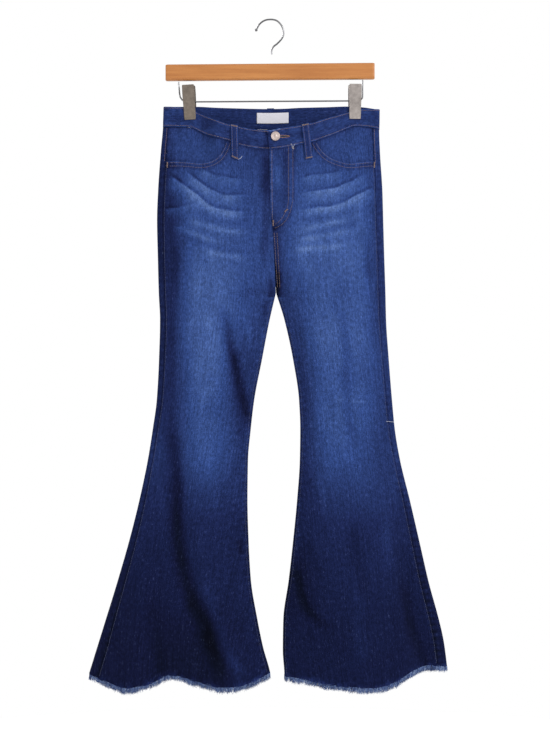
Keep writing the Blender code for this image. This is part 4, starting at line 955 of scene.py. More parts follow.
def wood_material():
    """Varnished beech: long grain with darker streaks, along the bar."""
    material, nodes, links, shader = new_material("varnished_wood")
    coords = nodes.new("ShaderNodeTexCoord").outputs["Object"]
    grain = noise_node(nodes, links, coords, 1.0, 4, 0.6, (9, 160, 230))
    pores = noise_node(nodes, links, coords, 1.0, 2, 0.6, (60, 900, 1100))
    broad = noise_node(nodes, links, coords, 1.0, 2, 0.5, (5, 40, 40))
    ramp = nodes.new("ShaderNodeValToRGB")
    ramp.color_ramp.elements[0].position = 0.30
    ramp.color_ramp.elements[0].color = (*screen(170, 104, 52, 0.64), 1)
    ramp.color_ramp.elements[1].position = 0.72
    ramp.color_ramp.elements[1].color = (*screen(206, 140, 78, 0.64), 1)
    mix = math_node(nodes, links, "ADD", math_node(nodes, links, "MULTIPLY", grain, 0.6), math_node(nodes, links, "MULTIPLY", broad, 0.4))
    links.new(mix, ramp.inputs["Fac"])
    gain = math_node(nodes, links, "ADD", math_node(nodes, links, "MULTIPLY", pores, 0.24), 0.88)
    scale = nodes.new("ShaderNodeVectorMath")
    scale.operation = "SCALE"
    links.new(ramp.outputs["Color"], scale.inputs[0])
    links.new(gain, scale.inputs["Scale"])
    links.new(scale.outputs[0], shader.inputs["Base Color"])
    bump = nodes.new("ShaderNodeBump")
    bump.inputs["Strength"].default_value = 0.12
    bump.inputs["Distance"].default_value = 0.0004
    links.new(grain, bump.inputs["Height"])
    links.new(bump.outputs[0], shader.inputs["Normal"])
    shader.inputs["Roughness"].default_value = 0.38
    shader.inputs["Specular IOR Level"].default_value = 0.25
    shader.inputs["Coat Weight"].default_value = 0.08
    shader.inputs["Coat Roughness"].default_value = 0.25
    return material


def metal_material(name, colour, roughness, worn=0.2):
    material, nodes, links, shader = new_material(name)
    coords = nodes.new("ShaderNodeTexCoord").outputs["Object"]
    marks = noise_node(nodes, links, coords, 160, 3, 0.6)
    gain = math_node(nodes, links, "ADD", math_node(nodes, links, "MULTIPLY", marks, 2 * worn), 1 - worn)
    scale = nodes.new("ShaderNodeVectorMath")
    scale.operation = "SCALE"
    scale.inputs[0].default_value = colour
    links.new(gain, scale.inputs["Scale"])
    links.new(scale.outputs[0], shader.inputs["Base Color"])
    rough = math_node(nodes, links, "ADD", math_node(nodes, links, "MULTIPLY", marks, 0.16), roughness - 0.08)
    links.new(rough, shader.inputs["Roughness"])
    shader.inputs["Metallic"].default_value = 1.0
    return material


# ---- Meshes ------------------------------------------------------------------
def smooth_mesh(name, points, faces, materials, wash_and_shading=None, uv=None, indices=None):
    """A mesh piece in metres with its wash and painted shading and its flat coordinates per point."""
    points = np.asarray(points, float) * MM
    mesh = bpy.data.meshes.new(name)
    faces = [tuple(int(v) for v in f) for f in faces]
    mesh.from_pydata(points.tolist(), [], faces)
    mesh.polygons.foreach_set("use_smooth", np.ones(len(mesh.polygons), bool))
    for material in materials:
        mesh.materials.append(material)
    if indices is not None:
        mesh.polygons.foreach_set("material_index", np.asarray(indices, np.int32))
    if wash_and_shading is not None:
        colours = np.ones((len(points), 4), np.float32)
        colours[:, :3] = wash_and_shading
        layer = mesh.color_attributes.new("wash_and_shading", "FLOAT_COLOR", "POINT")
        layer.data.foreach_set("color", colours.ravel())
    if uv is not None:
        layer = mesh.uv_layers.new(name="cloth")
        loops = np.empty(len(mesh.loops), np.int32)
        mesh.loops.foreach_get("vertex_index", loops)
        layer.data.foreach_set("uv", np.asarray(uv, np.float32)[loops].ravel())
    mesh.update()
    obj = bpy.data.objects.new(name, mesh)
    bpy.context.scene.collection.objects.link(obj)
    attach(obj, "root")
    return obj


def grid_faces(rows, cols, ring=False, flip=False, start=0):
    i, j = np.meshgrid(np.arange(rows - 1), np.arange(cols if ring else cols - 1), indexing="ij")
    a = i * cols + j
    b = i * cols + (j + 1) % cols
    faces = np.stack([a, b, b + cols, a + cols], -1).reshape(-1, 4) + start
    return faces[:, ::-1] if flip else faces


def grid_uv(side, sigma, drop):
    """Flat coordinates: the grain keeps to the middle line of each leg."""
    base = surface(side, sigma, drop)
    leg = np.maximum(drop, CROTCH)
    x_out, x_in = edges_of(side, leg)
    across = base[..., 0] - (x_out + x_in) / 2 + 0.7 * side * base[..., 1]
    return np.stack([(across + 700 * side) * MM, -drop * MM], -1)


def cloth_shell(name, side, sigma, drop, piece, node, inwards=0.0, thick=1.1, extra=None, tint=0.0, lap=False):
    """A thin shell of denim over a grid of places on the jeans, with its true wall."""
    relief, wash_and_shading = look_of(side, sigma, drop, piece)
    if extra is not None:
        more_relief, more_wash_and_shading = extra(side, sigma, drop)
        relief, wash_and_shading = relief + more_relief, wash_and_shading + more_wash_and_shading
    outer = lifted(side, sigma, drop, relief, inwards)
    inner = lifted(side, sigma, drop, relief, inwards + thick)
    if lap:
        # The joined edge carries on a little behind the other half; that hidden strip is painted darker, as the shade
        # under the lap.
        reach = 0.05 + 1.9 * smooth((CROTCH - 3 - drop[:, -1:]) / 12)
        shift = np.concatenate([-side * reach, 0 * reach, 0 * reach], -1)[:, None, :]
        inner_way = inner[:, -1:] - outer[:, -1:]
        under = outer[:, -1:] + inner_way * 1.25
        outer = np.concatenate([outer, under, under + shift], 1)
        inner = np.concatenate([inner, under + inner_way * 0.45, under + inner_way * 0.45 + shift], 1)
        sigma, drop, wash_and_shading = (np.concatenate([v, v[:, -1:], v[:, -1:]], 1) for v in (sigma, drop, wash_and_shading))
        wash_and_shading[:, -2:] -= 0.15
    rows, cols = sigma.shape
    points = np.concatenate([outer.reshape(-1, 3), inner.reshape(-1, 3)])
    count = rows * cols
    # Which way the grid turns decides which way its faces look.
    mid = (rows // 2, cols // 2)
    across = outer[mid[0], mid[1] + 1] - outer[mid]
    down = outer[mid[0] + 1, mid[1]] - outer[mid]
    out = outer[mid] - inner[mid]
    flip = float(np.dot(np.cross(across, down), out)) < 0
    front = grid_faces(rows, cols, flip=flip)
    back = grid_faces(rows, cols, flip=not flip, start=count)
    rim = []
    loop = (
        [(0, j) for j in range(cols)]
        + [(i, cols - 1) for i in range(1, rows)]
        + [(rows - 1, j) for j in range(cols - 2, -1, -1)]
        + [(i, 0) for i in range(rows - 2, 0, -1)]
    )
    ids = [i * cols + j for i, j in loop]
    for a, b in zip(ids, ids[1:] + ids[:1]):
        rim.append((b, a, a + count, b + count) if not flip else (a, b, b + count, a + count))
    faces = np.concatenate([front, back, np.array(rim)])
    indices = np.concatenate([np.zeros(len(front)), np.ones(len(back)), np.zeros(len(rim))])
    colour = shade(wash_and_shading + tint).reshape(-1, 3)
    uv = grid_uv(side, sigma, drop).reshape(-1, 2)
    obj = smooth_mesh(
        name, points, faces, (DENIM, DENIM_INSIDE),
        np.concatenate([colour, colour]), np.concatenate([uv, uv]), indices,
    )
    mesh = obj.data
    edges = {tuple(sorted((a, b))) for a, b in zip(ids, ids[1:] + ids[:1])}
    sharp = mesh.attributes.new("sharp_edge", "BOOLEAN", "EDGE")
    keys = np.empty(len(mesh.edges) * 2, np.int32)
    mesh.edges.foreach_get("vertices", keys)
    keys = np.sort(keys.reshape(-1, 2), axis=1)
    sharp.data.foreach_set("value", [tuple(k) in edges for k in keys.tolist()])
    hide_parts(node)
    return obj


def front_shell(side):
    """A front from the pocket mouth, the waist seam and the side seam to the hem."""
    name = "front_right" if side < 0 else "front_left"
    cols, top_rows = 96, 62
    below = np.concatenate([np.arange(332.4, 500, 2.9), np.arange(500, HEM, 3.6), [HEM]])
    line = mouth_line(side)
    order = np.argsort(np.abs(line[:, 0]))
    share = np.linspace(0, 1, cols)
    start = float(seam_sigma(side, 262.0, 0))
    s = start + (1 - start) * share
    x_out, x_in = edges_of(side, 262.0)
    xs = x_out - side * share_to_inset(s, abs(x_in - x_out))
    z_top = -np.interp(np.abs(xs), np.abs(line[:, 0])[order], -line[:, 1][order])
    top = drop_at(side, 1, xs, z_top)
    ends = abs(MOUTH[0][0 if side < 0 else 1])
    top = np.where(np.abs(xs) < ends, WAIST_SEAM + 0.1, top)
    t = np.linspace(0, 1, top_rows)[:, None]
    drop = np.concatenate([top + (330 - top) * t, np.repeat(below[:, None], cols, 1)])
    start = seam_sigma(side, drop, SEAM_GAP / 2)
    sigma = start + (1 - start) * share
    return cloth_shell(name + "_cloth", side, sigma, drop, "front", name, lap=side > 0)


def back_columns(side, drop, cols):
    start = seam_sigma(side, np.maximum(drop, 243.0), -SEAM_GAP / 2)
    share = np.linspace(0, 1, cols)
    return start + (-1 - start) * share


def back_shell(side):
    name = "back_right" if side < 0 else "back_left"
    cols = 108
    below = np.concatenate([np.arange(332.4, 520, 3.1), np.arange(520, HEM, 3.9), [HEM]])
    probe = back_columns(side, np.full((1, cols), 262.0), cols)
    top = yoke_line(side, np.where(probe > 0, 0, probe)) + 0.15
    t = np.linspace(0, 1, 34)[:, None]
    drop = np.concatenate([top + (330 - top) * t, np.repeat(below[:, None], cols, 1)])
    sigma = back_columns(side, drop, cols)
    return cloth_shell(name + "_cloth", side, sigma, drop, "back", name, lap=side > 0)


def yoke_shell(side):
    name = "yoke_right" if side < 0 else "yoke_left"
    cols = 108
    probe = back_columns(side, np.full((1, cols), 243.0), cols)
    foot = yoke_line(side, np.where(probe > 0, 0, probe)) - 0.15
    t = np.linspace(0, 1, 32)[:, None]
    drop = WAIST_SEAM + 0.1 + (foot - WAIST_SEAM - 0.1) * t
    sigma = back_columns(side, drop, cols)
    return cloth_shell(name + "_cloth", side, sigma, drop, "yoke", name)


def facing_shell(side):
    name = "pocket_facing_right" if side < 0 else "pocket_facing_left"
    rows, cols = 40, 60
    drop = np.repeat(np.linspace(WAIST_SEAM + 0.1, WAIST_SEAM + 92, rows)[:, None], cols, 1)
    start = seam_sigma(side, drop, 0.3)
    end = sigma_at(side, 1, np.full(drop.shape, -64.0 if side < 0 else 68.0), drop)
    sigma = start + (end - start) * np.linspace(0, 1, cols)

    def shadow(side, sigma, drop):
        x, z = surface(side, sigma, drop)[..., 0], surface(side, sigma, drop)[..., 2]
        off, _ = from_line(x, z, mouth_line(side))
        return np.zeros(x.shape), -0.10 * np.exp(-((np.abs(off) / 7) ** 2)) + 0.02

    return cloth_shell(name + "_cloth", side, sigma, drop, "facing", name, 1.5, extra=shadow)


def pocket_outline(mid, t):
    """Drops of a back pocket: top, and foot with its point."""
    return 292 + 3 * t, 449 - 24 * t


def back_pocket_shell(side):
    name = "back_pocket_right" if side < 0 else "back_pocket_left"
    mid = 96.0 if side > 0 else -92.0
    cols, rows = 62, 66
    xs = mid + np.linspace(-68, 68, cols)
    away = np.abs(xs - mid) / 68
    top, foot = pocket_outline(mid, away)
    t = np.linspace(0, 1, rows)[:, None]
    drop = top + (foot - top) * t
    sigma = sigma_at(side, -1, np.repeat(xs[None, :], rows, 0), drop)

    def edged(side, sigma, drop):
        x = surface(side, sigma, drop)[..., 0]
        a = np.abs(x - mid) / 68
        top, foot = pocket_outline(mid, a)
        near = np.minimum(np.minimum(drop - top, foot - drop), 68 - np.abs(x - mid))
        puck = value_noise(x / 5, drop / 5, 41)
        soft = 0.4 * np.exp(-(((68 - np.abs(x - mid)) / 30) ** 2))
        wash_and_shading = 0.26 * np.exp(-((near / 1.8) ** 2)) + 0.09 * puck * np.exp(-((near / 9) ** 2))
        wash_and_shading = wash_and_shading + 0.05
        relief = 0.5 * (1 - smooth((near - 9) / 3)) + 0.0 * soft
        hem = np.exp(-(((drop - top - 22) / 2) ** 2))
        return relief, wash_and_shading - 0.07 * hem

    return cloth_shell(name + "_cloth", side, sigma, drop, "pocket", name, -0.3 - 1.1, extra=edged)


def plain_shell(name, side, face, xs, tops, feet, inwards, thick, rows, tint):
    xs = np.asarray(xs, float)
    t = np.linspace(0, 1, rows)[:, None]
    drop = tops + (feet - tops) * t * np.ones_like(xs)
    sigma = sigma_at(side, face, np.repeat(xs[None, :], rows, 0), drop)
    return cloth_shell(name + "_cloth", side, sigma, drop, "facing", name, inwards, thick, tint=tint)


# ---- The band ----------------------------------------------------------------
def band_path():
    """Places round the band: side, sigma at the top and at the foot, extra depth."""
    lap = BAND_CLOTH + SEAM_GAP
    rows = []

    def add(side, top, foot, extra):
        rows.append((side, top, foot, extra))

    def by_x(side, xt, xf, extra):
        top = float(sigma_at(side, 1, np.float64(xt), WAIST_TOP))
        foot = float(sigma_at(side, 1, np.float64(xf), WAIST_SEAM))
        add(side, top, foot, extra)

    for x in np.arange(32, 2, -2.0):
        by_x(1, x, x, lap)
    for x in np.arange(-1, -190, -2.2):
        under = lap * (1 - smooth((-x - 10) / 22.0))
        by_x(-1, x, x, float(under))
    for s in np.linspace(0.11, -0.11, 17):
        add(-1, s, s, 0)
    for s in -np.linspace(0.12, 0.998, 90):
        add(-1, s, s, 0)
    for s in -np.linspace(0.998, 0.12, 90):
        add(1, s, s, 0)
    for s in np.linspace(-0.11, 0.11, 17):
        add(1, s, s, 0)
    for x in np.arange(193, 2.5, -2.2):
        by_x(1, x, x, 0)
    for a, b in ((-0.5, 1.0), (-3.5, 0.2), (-7.0, -1.2)):
        by_x(-1, a, b, 0)
    return rows


def band_shell():
    """The doubled strip as one soft-edged tube of cloth."""
    path = band_path()
    sides = np.array([p[0] for p in path])
    tops = np.array([p[1] for p in path])
    feet = np.array([p[2] for p in path])
    extras = np.array([p[3] for p in path])
    proud, thick = -0.5, BAND_CLOTH
    profile = []
    for t in np.linspace(0.985, 0.015, 15):
        profile.append((proud, t))
    profile += [(proud + 0.35, 0.003), (proud + thick / 2, 0.0), (proud + thick - 0.35, 0.003)]
    for t in np.linspace(0.015, 0.985, 15):
        profile.append((proud + thick, t))
    profile += [(proud + thick - 0.35, 0.997), (proud + thick / 2, 1.0), (proud + 0.35, 0.997)]
    n = len(profile)
    grid = np.zeros((len(path), n, 3))
    colour = np.zeros((len(path), n, 3))
    uv = np.zeros((len(path), n, 2))
    along = np.arange(len(path)) * 2.2
    for k, (inwards, t) in enumerate(profile):
        level = WAIST_TOP + (WAIST_SEAM - 0.1 - WAIST_TOP) * t
        outside = inwards < proud + thick / 2
        for side in (-1, 1):
            pick = sides == side
            sigma = (tops + (feet - tops) * t)[pick]
            drop = np.full(sigma.shape, level)
            base = surface(side, sigma, drop)
            x = base[:, 0]
            swell = 0.22 * fractal(along[pick] / 14, np.full(sigma.shape, t * 2.2), 3)
            pucker = 0.25 * value_noise(along[pick] / 4.5, np.full(sigma.shape, t * 3.0), 6)
            edge = min(abs(t - 0.0), abs(1 - t)) * 38
            rel = swell + pucker * np.exp(-((edge / 6) ** 2))
            depth = inwards + extras[pick]
            grid[pick, k] = base + normals(side, sigma, drop) * (
                (rel if outside else 0) - depth
            )[..., None]
            wash_and_shading = 0.45 + 0.15 * fractal(along[pick] / 15, np.full(sigma.shape, t * 5), 8)
            wash_and_shading = wash_and_shading + 0.03 * (x > 0)
            # The edge over the button is worn pale, and the under layer is in shade.
            frayed = np.exp(-(((x - 8) / 11) ** 2)) * (side > 0 or t < 0.2)
            wash_and_shading = wash_and_shading + 1.1 * frayed * math.exp(-((t / 0.05) ** 2)) * (
                0.7 + 0.5 * value_noise(along[pick] / 3, along[pick] * 0, 33)
            )
            wash_and_shading = wash_and_shading - 0.16 * np.exp(-(((x + 6) / 5) ** 2)) * (side < 0)
            wash_and_shading = wash_and_shading + 0.22 * np.exp(-((edge / 1.6) ** 2)) * (
                1 + 0.8 * value_noise(along[pick] / 4, np.full(sigma.shape, t), 16)
            )
            wash_and_shading = wash_and_shading + 0.08 * np.exp(-(((edge - 7) / 3) ** 2)) * value_noise(
                along[pick] / 5, np.full(sigma.shape, t), 17
            )
            colour[pick, k] = shade(wash_and_shading if outside else wash_and_shading * 0 + 0.42)
        # The strip is cut along its length, so the warp runs round the waist.
        uv[:, k, 0] = t * 0.038 + (0 if outside else 0.1)
        uv[:, k, 1] = along * MM
    points = grid.reshape(-1, 3)
    faces = grid_faces(len(path), n, ring=True)
    mid = len(path) // 3
    a, b, c = points[faces[mid * n + 5][:3]]
    inner_point = grid[mid, 25]
    flip = np.dot(np.cross(b - a, c - a), a - inner_point) < 0
    if flip:
        faces = faces[:, ::-1]
    faces = [tuple(f) for f in faces]
    end = (len(path) - 1) * n
    for start, turn in ((0, not flip), (end, flip)):
        # Each end is closed by quads between its outer and inner rows.
        for k in range(n // 2 - 1):
            quad = (start + k, start + k + 1, start + n - 4 - k - 0, start + n - 3 - k)
            if len(set(v % n for v in quad)) < 4:
                continue
            faces.append(quad if turn else quad[::-1])
    obj = smooth_mesh(
        "waistband_cloth", points, faces, (DENIM,), colour.reshape(-1, 3), uv.reshape(-1, 2)
    )
    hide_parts("waistband")
    return obj


def place_on_loop(row, across, along, lift):
    """A point over a belt loop's line: across from its middle, along 0 to 1."""
    loop = dict(zip(LOOP_COLUMNS, row))
    level = loop["drop_top"] + (loop["drop_foot"] - loop["drop_top"]) * along
    x = loop["x_top"] + (loop["x_foot"] - loop["x_top"]) * along + across
    here = -1 if x < edges_of(-1, level)[1] else 1
    s = sigma_at(here, loop["face"], np.float64(x), level)
    return moved(here, s, level, np.float64(-lift))


def loop_shell(row):
    """A belt loop: a folded strip, sewn down at both ends and standing a little off between."""
    loop = dict(zip(LOOP_COLUMNS, row))
    half, thick = LOOP_WIDTH / 2, LOOP_CLOTH
    profile = [(-half, 0.4), (-half, thick - 0.5), (-half + 0.5, thick), (-half + 2.4, thick + 0.15),
               (-half + 4.2, thick - 0.15), (0, thick - 0.1), (half - 4.2, thick - 0.15),
               (half - 2.4, thick + 0.15), (half - 0.5, thick), (half, thick - 0.5), (half, 0.4),
               (half - 0.6, 0), (0, 0), (-half + 0.6, 0)]  # fmt: skip
    rows = 40
    n = len(profile)
    grid, colour, uv = [], [], []
    for i, t in enumerate(np.linspace(-0.004, 1.004, rows)):
        sewn = math.exp(-((t / 0.07) ** 2)) + math.exp(-(((1 - t) / 0.07) ** 2))
        bow = LOOP_LIFT + 0.5 * math.sin(math.pi * min(max(t, 0), 1)) - 0.75 * sewn
        for u, h in profile:
            grid.append(place_on_loop(row, u, t, bow + h))
            edge = half - abs(u)
            w = 0.40 + 0.26 * math.exp(-((edge / 1.2) ** 2)) + 0.10 * math.exp(-(((edge - 2.4) / 1.2) ** 2))
            w += 0.05 * float(value_noise(np.float64(t * 16), np.float64(u / 3), 2.0 + loop["x_top"]))
            w += 0.12 * sewn
            # The loop's under face, which lies against the band, is painted darker as shade.
            if h <= 0.4:
                w -= 0.2
            colour.append(w)
            uv.append((u * MM + 0.3 + loop["x_top"] * MM, t * 0.067))
    points = np.array(grid)
    faces = [tuple(f) for f in grid_faces(rows, n, ring=True)]
    faces.append(tuple(reversed(range(n))))
    faces.append(tuple(range((rows - 1) * n, rows * n)))
    tri = points[[(f[0], f[i], f[i + 1]) for f in faces for i in range(1, len(f) - 1)]]
    if np.einsum("ij,ij->i", tri[:, 0] - points.mean(0), np.cross(tri[:, 1] - points.mean(0), tri[:, 2] - points.mean(0))).sum() < 0:
        faces = [f[::-1] for f in faces]
    obj = smooth_mesh(loop["name"] + "_cloth", points, faces, (DENIM,), shade(np.array(colour)), uv)
    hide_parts(loop["name"])
    return obj


# ---- Stitches ----------------------------------------------------------------
class Stitches:
    """Many small threads gathered into one mesh."""

    def __init__(self, name, material):
        self.name, self.material = name, material
        self.points, self.faces, self.count = [], [], 0

    def add(self, starts, ends, ups, radius):
        """Threads from starts to ends, each domed over its stretch."""
        starts, ends, ups = (np.asarray(v, float) for v in (starts, ends, ups))
        way = ends - starts
        length = np.linalg.norm(way, axis=1, keepdims=True)
        way = way / np.maximum(length, 1e-6)
        across = np.cross(way, ups)
        across /= np.maximum(np.linalg.norm(across, axis=1, keepdims=True), 1e-6)
        rings = []
        for t, size, rise in ((0, 0.55, -0.8), (0.5, 1.0, 0.35), (1, 0.55, -0.8)):
            middle = starts + way * length * t + ups * radius * rise
            rings.append([
                middle + across * radius * size * c + ups * radius * size * s
                for c, s in ((1, 0), (0, 0.95), (-1, 0), (0, -0.8))
            ])
        block = np.array(rings).transpose(2, 0, 1, 3)
        n = len(starts)
        self.points.append(block.reshape(-1, 3))
        base = []
        for i in range(2):
            for k in range(4):
                a, b = i * 4 + k, i * 4 + (k + 1) % 4
                base.append((a, b, b + 4, a + 4))
        base = np.array(base)
        offsets = self.count + np.arange(n)[:, None, None] * 12
        self.faces.append((base[None] + offsets).reshape(-1, 4))
        self.count += n * 12

    def run(self, side, sigma, drop, lift, pitch=3.1, length=2.35, radius=0.36, piece=None):
        """A row of stitches along places on the jeans."""
        sigma, drop = np.asarray(sigma, float), np.asarray(drop, float)
        relief = look_of(side, sigma, drop, piece)[0] if piece else 0
        line = lifted(side, sigma, drop, relief + lift)
        up = normals(side, sigma, drop)
        along = np.concatenate([[0], np.cumsum(np.linalg.norm(np.diff(line, axis=0), axis=1))])
        count = int(along[-1] / pitch)
        if count < 1:
            return
        middle = (np.arange(count) + 0.5) * pitch
        jitter = 0.12 * np.sin(np.arange(count) * 7.3 + sigma[0] * 11)

        def at(values, where):
            return np.stack([np.interp(where, along, values[:, k]) for k in range(3)], -1)

        starts = at(line, middle - length / 2 + jitter)
        ends = at(line, middle + length / 2 + jitter)
        ups = at(up, middle)
        ups /= np.linalg.norm(ups, axis=1, keepdims=True)
        self.add(starts, ends, ups, radius)

    def line(self, side, face, points, lift, piece=None, **sizes):
        """A row of stitches along a line of X and Z."""
        pts = rounded_line(points, 60)
        drop = drop_at(side, face, pts[:, 0], pts[:, 1])
        sigma = sigma_at(side, face, pts[:, 0], drop)
        self.run(side, sigma, drop, lift, piece=piece, **sizes)

    def bar(self, side, face, a, b, lift, width=2.6, pitch=0.75, radius=0.34, piece=None):
        """A bartack: short threads packed side by side from a to b."""
        a, b = np.array(a, float), np.array(b, float)
        reach = np.hypot(*(b - a))
        n = max(3, int(reach / pitch))
        way = (b - a) / reach
        cross = np.array([-way[1], way[0]]) * width / 2
        t = (np.arange(n) + 0.5) / n
        mids = a + (b - a) * t[:, None]
        places = []
        for sign in (-1, 1):
            pts = mids + cross * sign
            drop = drop_at(side, face, pts[:, 0], pts[:, 1])
            sigma = sigma_at(side, face, pts[:, 0], drop)
            relief = look_of(side, sigma, drop, piece)[0] if piece else 0
            places.append(lifted(side, sigma, drop, relief + lift))
            ups = normals(side, sigma, drop)
        self.add(places[0], places[1], ups, radius)

    def make(self):
        obj = smooth_mesh(self.name, np.concatenate(self.points), np.concatenate(self.faces), (self.material,))
        return obj


def sew():
    """Every row of stitching and every bartack."""
    tan = Stitches("topstitching", TAN_THREAD)
    brown = Stitches("pocket_and_fly_stitching", BROWN_THREAD)
    navy = Stitches("leg_seam_stitching", NAVY_THREAD)
    body = 0.15
    for side in (-1, 1):
        # Side seam, inseam and centre back.
        drop = np.linspace(268, HEM - 4, 420)
        x_out, x_in = edges_of(side, drop)
        width = np.abs(x_in - x_out)
        inset = section("side_seam", drop) + (1.5 if side > 0 else 0) + 2.4
        navy.run(side, inset_to_share(inset, width), drop, body, piece="front", radius=0.30)
        drop = np.linspace(200, 262, 40)
        x_out, x_in = edges_of(side, drop)
        inset = section("side_seam", drop) + (1.5 if side > 0 else 0) - 2.2
        tan.run(side, inset_to_share(inset, np.abs(x_in - x_out)), drop, body, piece="yoke")
        drop = np.linspace(CROTCH + 8, HEM - 4, 380)
        x_out, x_in = edges_of(side, drop)
        navy.run(side, inset_to_share(np.abs(x_in - x_out) - 4.6, np.abs(x_in - x_out)), drop, body, piece="front", radius=0.26)
        for gap in (2.2, 8.0):
            drop = np.linspace(280, CROTCH - 14, 110)
            if side > 0:
                x_out, x_in = edges_of(side, drop)
                width = np.abs(x_in - x_out)
                tan.run(side, -inset_to_share(width - gap, width), drop, body, piece="back")
            sigma = -np.linspace(0.02, 0.985, 90)
            tan.run(side, sigma, yoke_line(side, sigma) + gap, body, piece="back")
        # Pocket mouth, double.
        for gap in (2.4, 8.6):
            line = mouth_line(side, gap)
            keep = (np.abs(line[:, 0]) < abs(MOUTH[-1][0 if side < 0 else 1]) - 0.5) & (line[:, 1] < -228)
            brown.line(side, 1, line[keep][::2], body, piece="front")
        end = abs(MOUTH[-1][0 if side < 0 else 1]) * side
        tan.bar(side, 1, (end - side * 2, -263.5), (end - side * 2, -274), 0.6, piece="front")
        # Back pocket, double.
        mid = 96.0 if side > 0 else -92.0
        for gap in (2.2, 8.4):
            xs = [mid - 68 + gap, mid - 68 + gap, mid, mid + 68 - gap, mid + 68 - gap]
            zs = [-(295 + 1), -(425 - gap * 0.6), -(449 - gap * 1.05), -(425 - gap * 0.6), -(295 + 1)]
            for k in range(4):
                pts = np.stack([np.linspace(xs[k], xs[k + 1], 6), np.linspace(zs[k], zs[k + 1], 6)], -1)
                tan.line(side, -1, pts, 1.4 + 0.55, piece="pocket")
        top = np.stack([mid + np.linspace(-66, 66, 12), -(292 + 3 * np.abs(np.linspace(-66, 66, 12)) / 68 + 14.0)], -1)
        tan.line(side, -1, top, 1.4 + 0.2, piece="pocket")
        for x in (mid - 63, mid + 63):
            tan.bar(side, -1, (x - 4, -297), (x + 4, -297), 2.1, piece="pocket")
    # Fly.
    for line in (FLY_J_INNER, FLY_J_OUTER):
        brown.line(1, 1, line, body + 0.1, piece="front")
    tan.line(1, 1, ((3.4, -243), (3.6, -300), (4.4, -372)), body + 0.1, piece="front")
    for gap in (2.2, 7.2):
        drop = np.linspace(390, CROTCH - 8, 60)
        x_out, x_in = edges_of(1, drop)
        width = np.abs(x_in - x_out)
        tan.run(1, inset_to_share(width - gap, width), drop, body, piece="front")
    tan.bar(1, 1, (6, -372), (6, -383), 0.7, piece="front")
    tan.bar(1, 1, (27, -357), (33, -352), 0.9, piece="front")
    tan.bar(1, 1, (40, -238), (44, -241), 0.7, piece="front")
    # Band: a row along each edge, all round.
    for level, share in ((WAIST_TOP + 2.6, 0.07), (WAIST_SEAM - 2.8, 0.925)):
        for side in (-1, 1):
            sigma = np.concatenate([-np.linspace(0.997, 0.02, 160), np.linspace(0.02, 0.997 if side > 0 else 0.965, 160)])
            tan.run(side, sigma, np.full(sigma.shape, level), 0.5 + 0.18)
    # Belt loops: a row along each edge and a bartack at each end.
    for row in LOOPS:
        loop = dict(zip(LOOP_COLUMNS, row))
        for u in (-LOOP_WIDTH / 2 + 2.3, LOOP_WIDTH / 2 - 2.3):
            ts = np.linspace(0.03, 0.97, 20)
            lifts = LOOP_LIFT + 0.5 * np.sin(np.pi * ts) + LOOP_CLOTH + 0.1
            pts = np.array([place_on_loop(row, u, t, h) for t, h in zip(ts, lifts)])
            over = np.array([place_on_loop(row, u, t, h + 1) for t, h in zip(ts, lifts)]) - pts
            half = (pts[1:] - pts[:-1]) * 0.36
            middle = (pts[1:] + pts[:-1]) / 2
            tan.add(middle - half, middle + half, over[:-1], 0.34)
        for t in (0.035, 0.965):
            us = np.linspace(-LOOP_WIDTH / 2 + 0.8, LOOP_WIDTH / 2 - 0.8, 15)
            low = LOOP_LIFT - 0.25 + LOOP_CLOTH
            a = np.array([place_on_loop(row, u, t - 0.02, low) for u in us])
            b = np.array([place_on_loop(row, u + 0.3, t + 0.02, low) for u in us])
            up = np.array([place_on_loop(row, u, t, low + 1) for u in us]) - a
            up /= np.linalg.norm(up, axis=1, keepdims=True)
            tan.add(a, b, up, 0.36)
    return tan.make(), brown.make(), navy.make()


LOOSE_THREADS = (
    # line of X, Z and how far it stands off, then its radius
    (((-63, -258.5, 1.0), (-58, -260.5, 1.6), (-54, -258.5, 1.8), (-51, -254.5, 1.2)), 0.36),
    (((38.6, -231.5, 1.0), (40.6, -236, 1.4), (41.8, -241, 0.8)), 0.26),
    (((45.4, -232.5, 1.0), (43.4, -237, 1.4), (42.4, -242, 0.8)), 0.26),
    (((214, -741.5, 0.6), (219, -742.2, 1.6), (224, -742.6, 1.8), (228.5, -743.6, 1.2)), 0.30),
)


def loose_threads():
    """The few thread ends that hang free."""
    points, faces = [], []
    for line, radius in LOOSE_THREADS:
        flat = rounded_line([p[:2] for p in line], 16)
        lift = np.interp(np.linspace(0, 1, 16), np.linspace(0, 1, len(line)), [p[2] for p in line])
        side = -1 if line[0][0] < 2 else 1
        drop = drop_at(side, 1, flat[:, 0], flat[:, 1])
        sigma = sigma_at(side, 1, flat[:, 0], drop)
        middle = lifted(side, sigma, drop, lift)
        up = normals(side, sigma, drop)
        way = np.gradient(middle, axis=0)
        way /= np.linalg.norm(way, axis=1, keepdims=True)
        across = np.cross(way, up)
        start = len(points)
        for m, u, a in zip(middle, up, across):
            for c, s in ((1, 0), (0, 1), (-1, 0), (0, -1)):
                points.append(m + a * radius * c + u * radius * s)
        faces += [tuple(f) for f in grid_faces(16, 4, ring=True, start=start)]
        faces += [tuple(range(start, start + 4)), tuple(range(start + 60, start + 64))]
    return smooth_mesh("loose_threads", points, faces, (PALE_THREAD,))


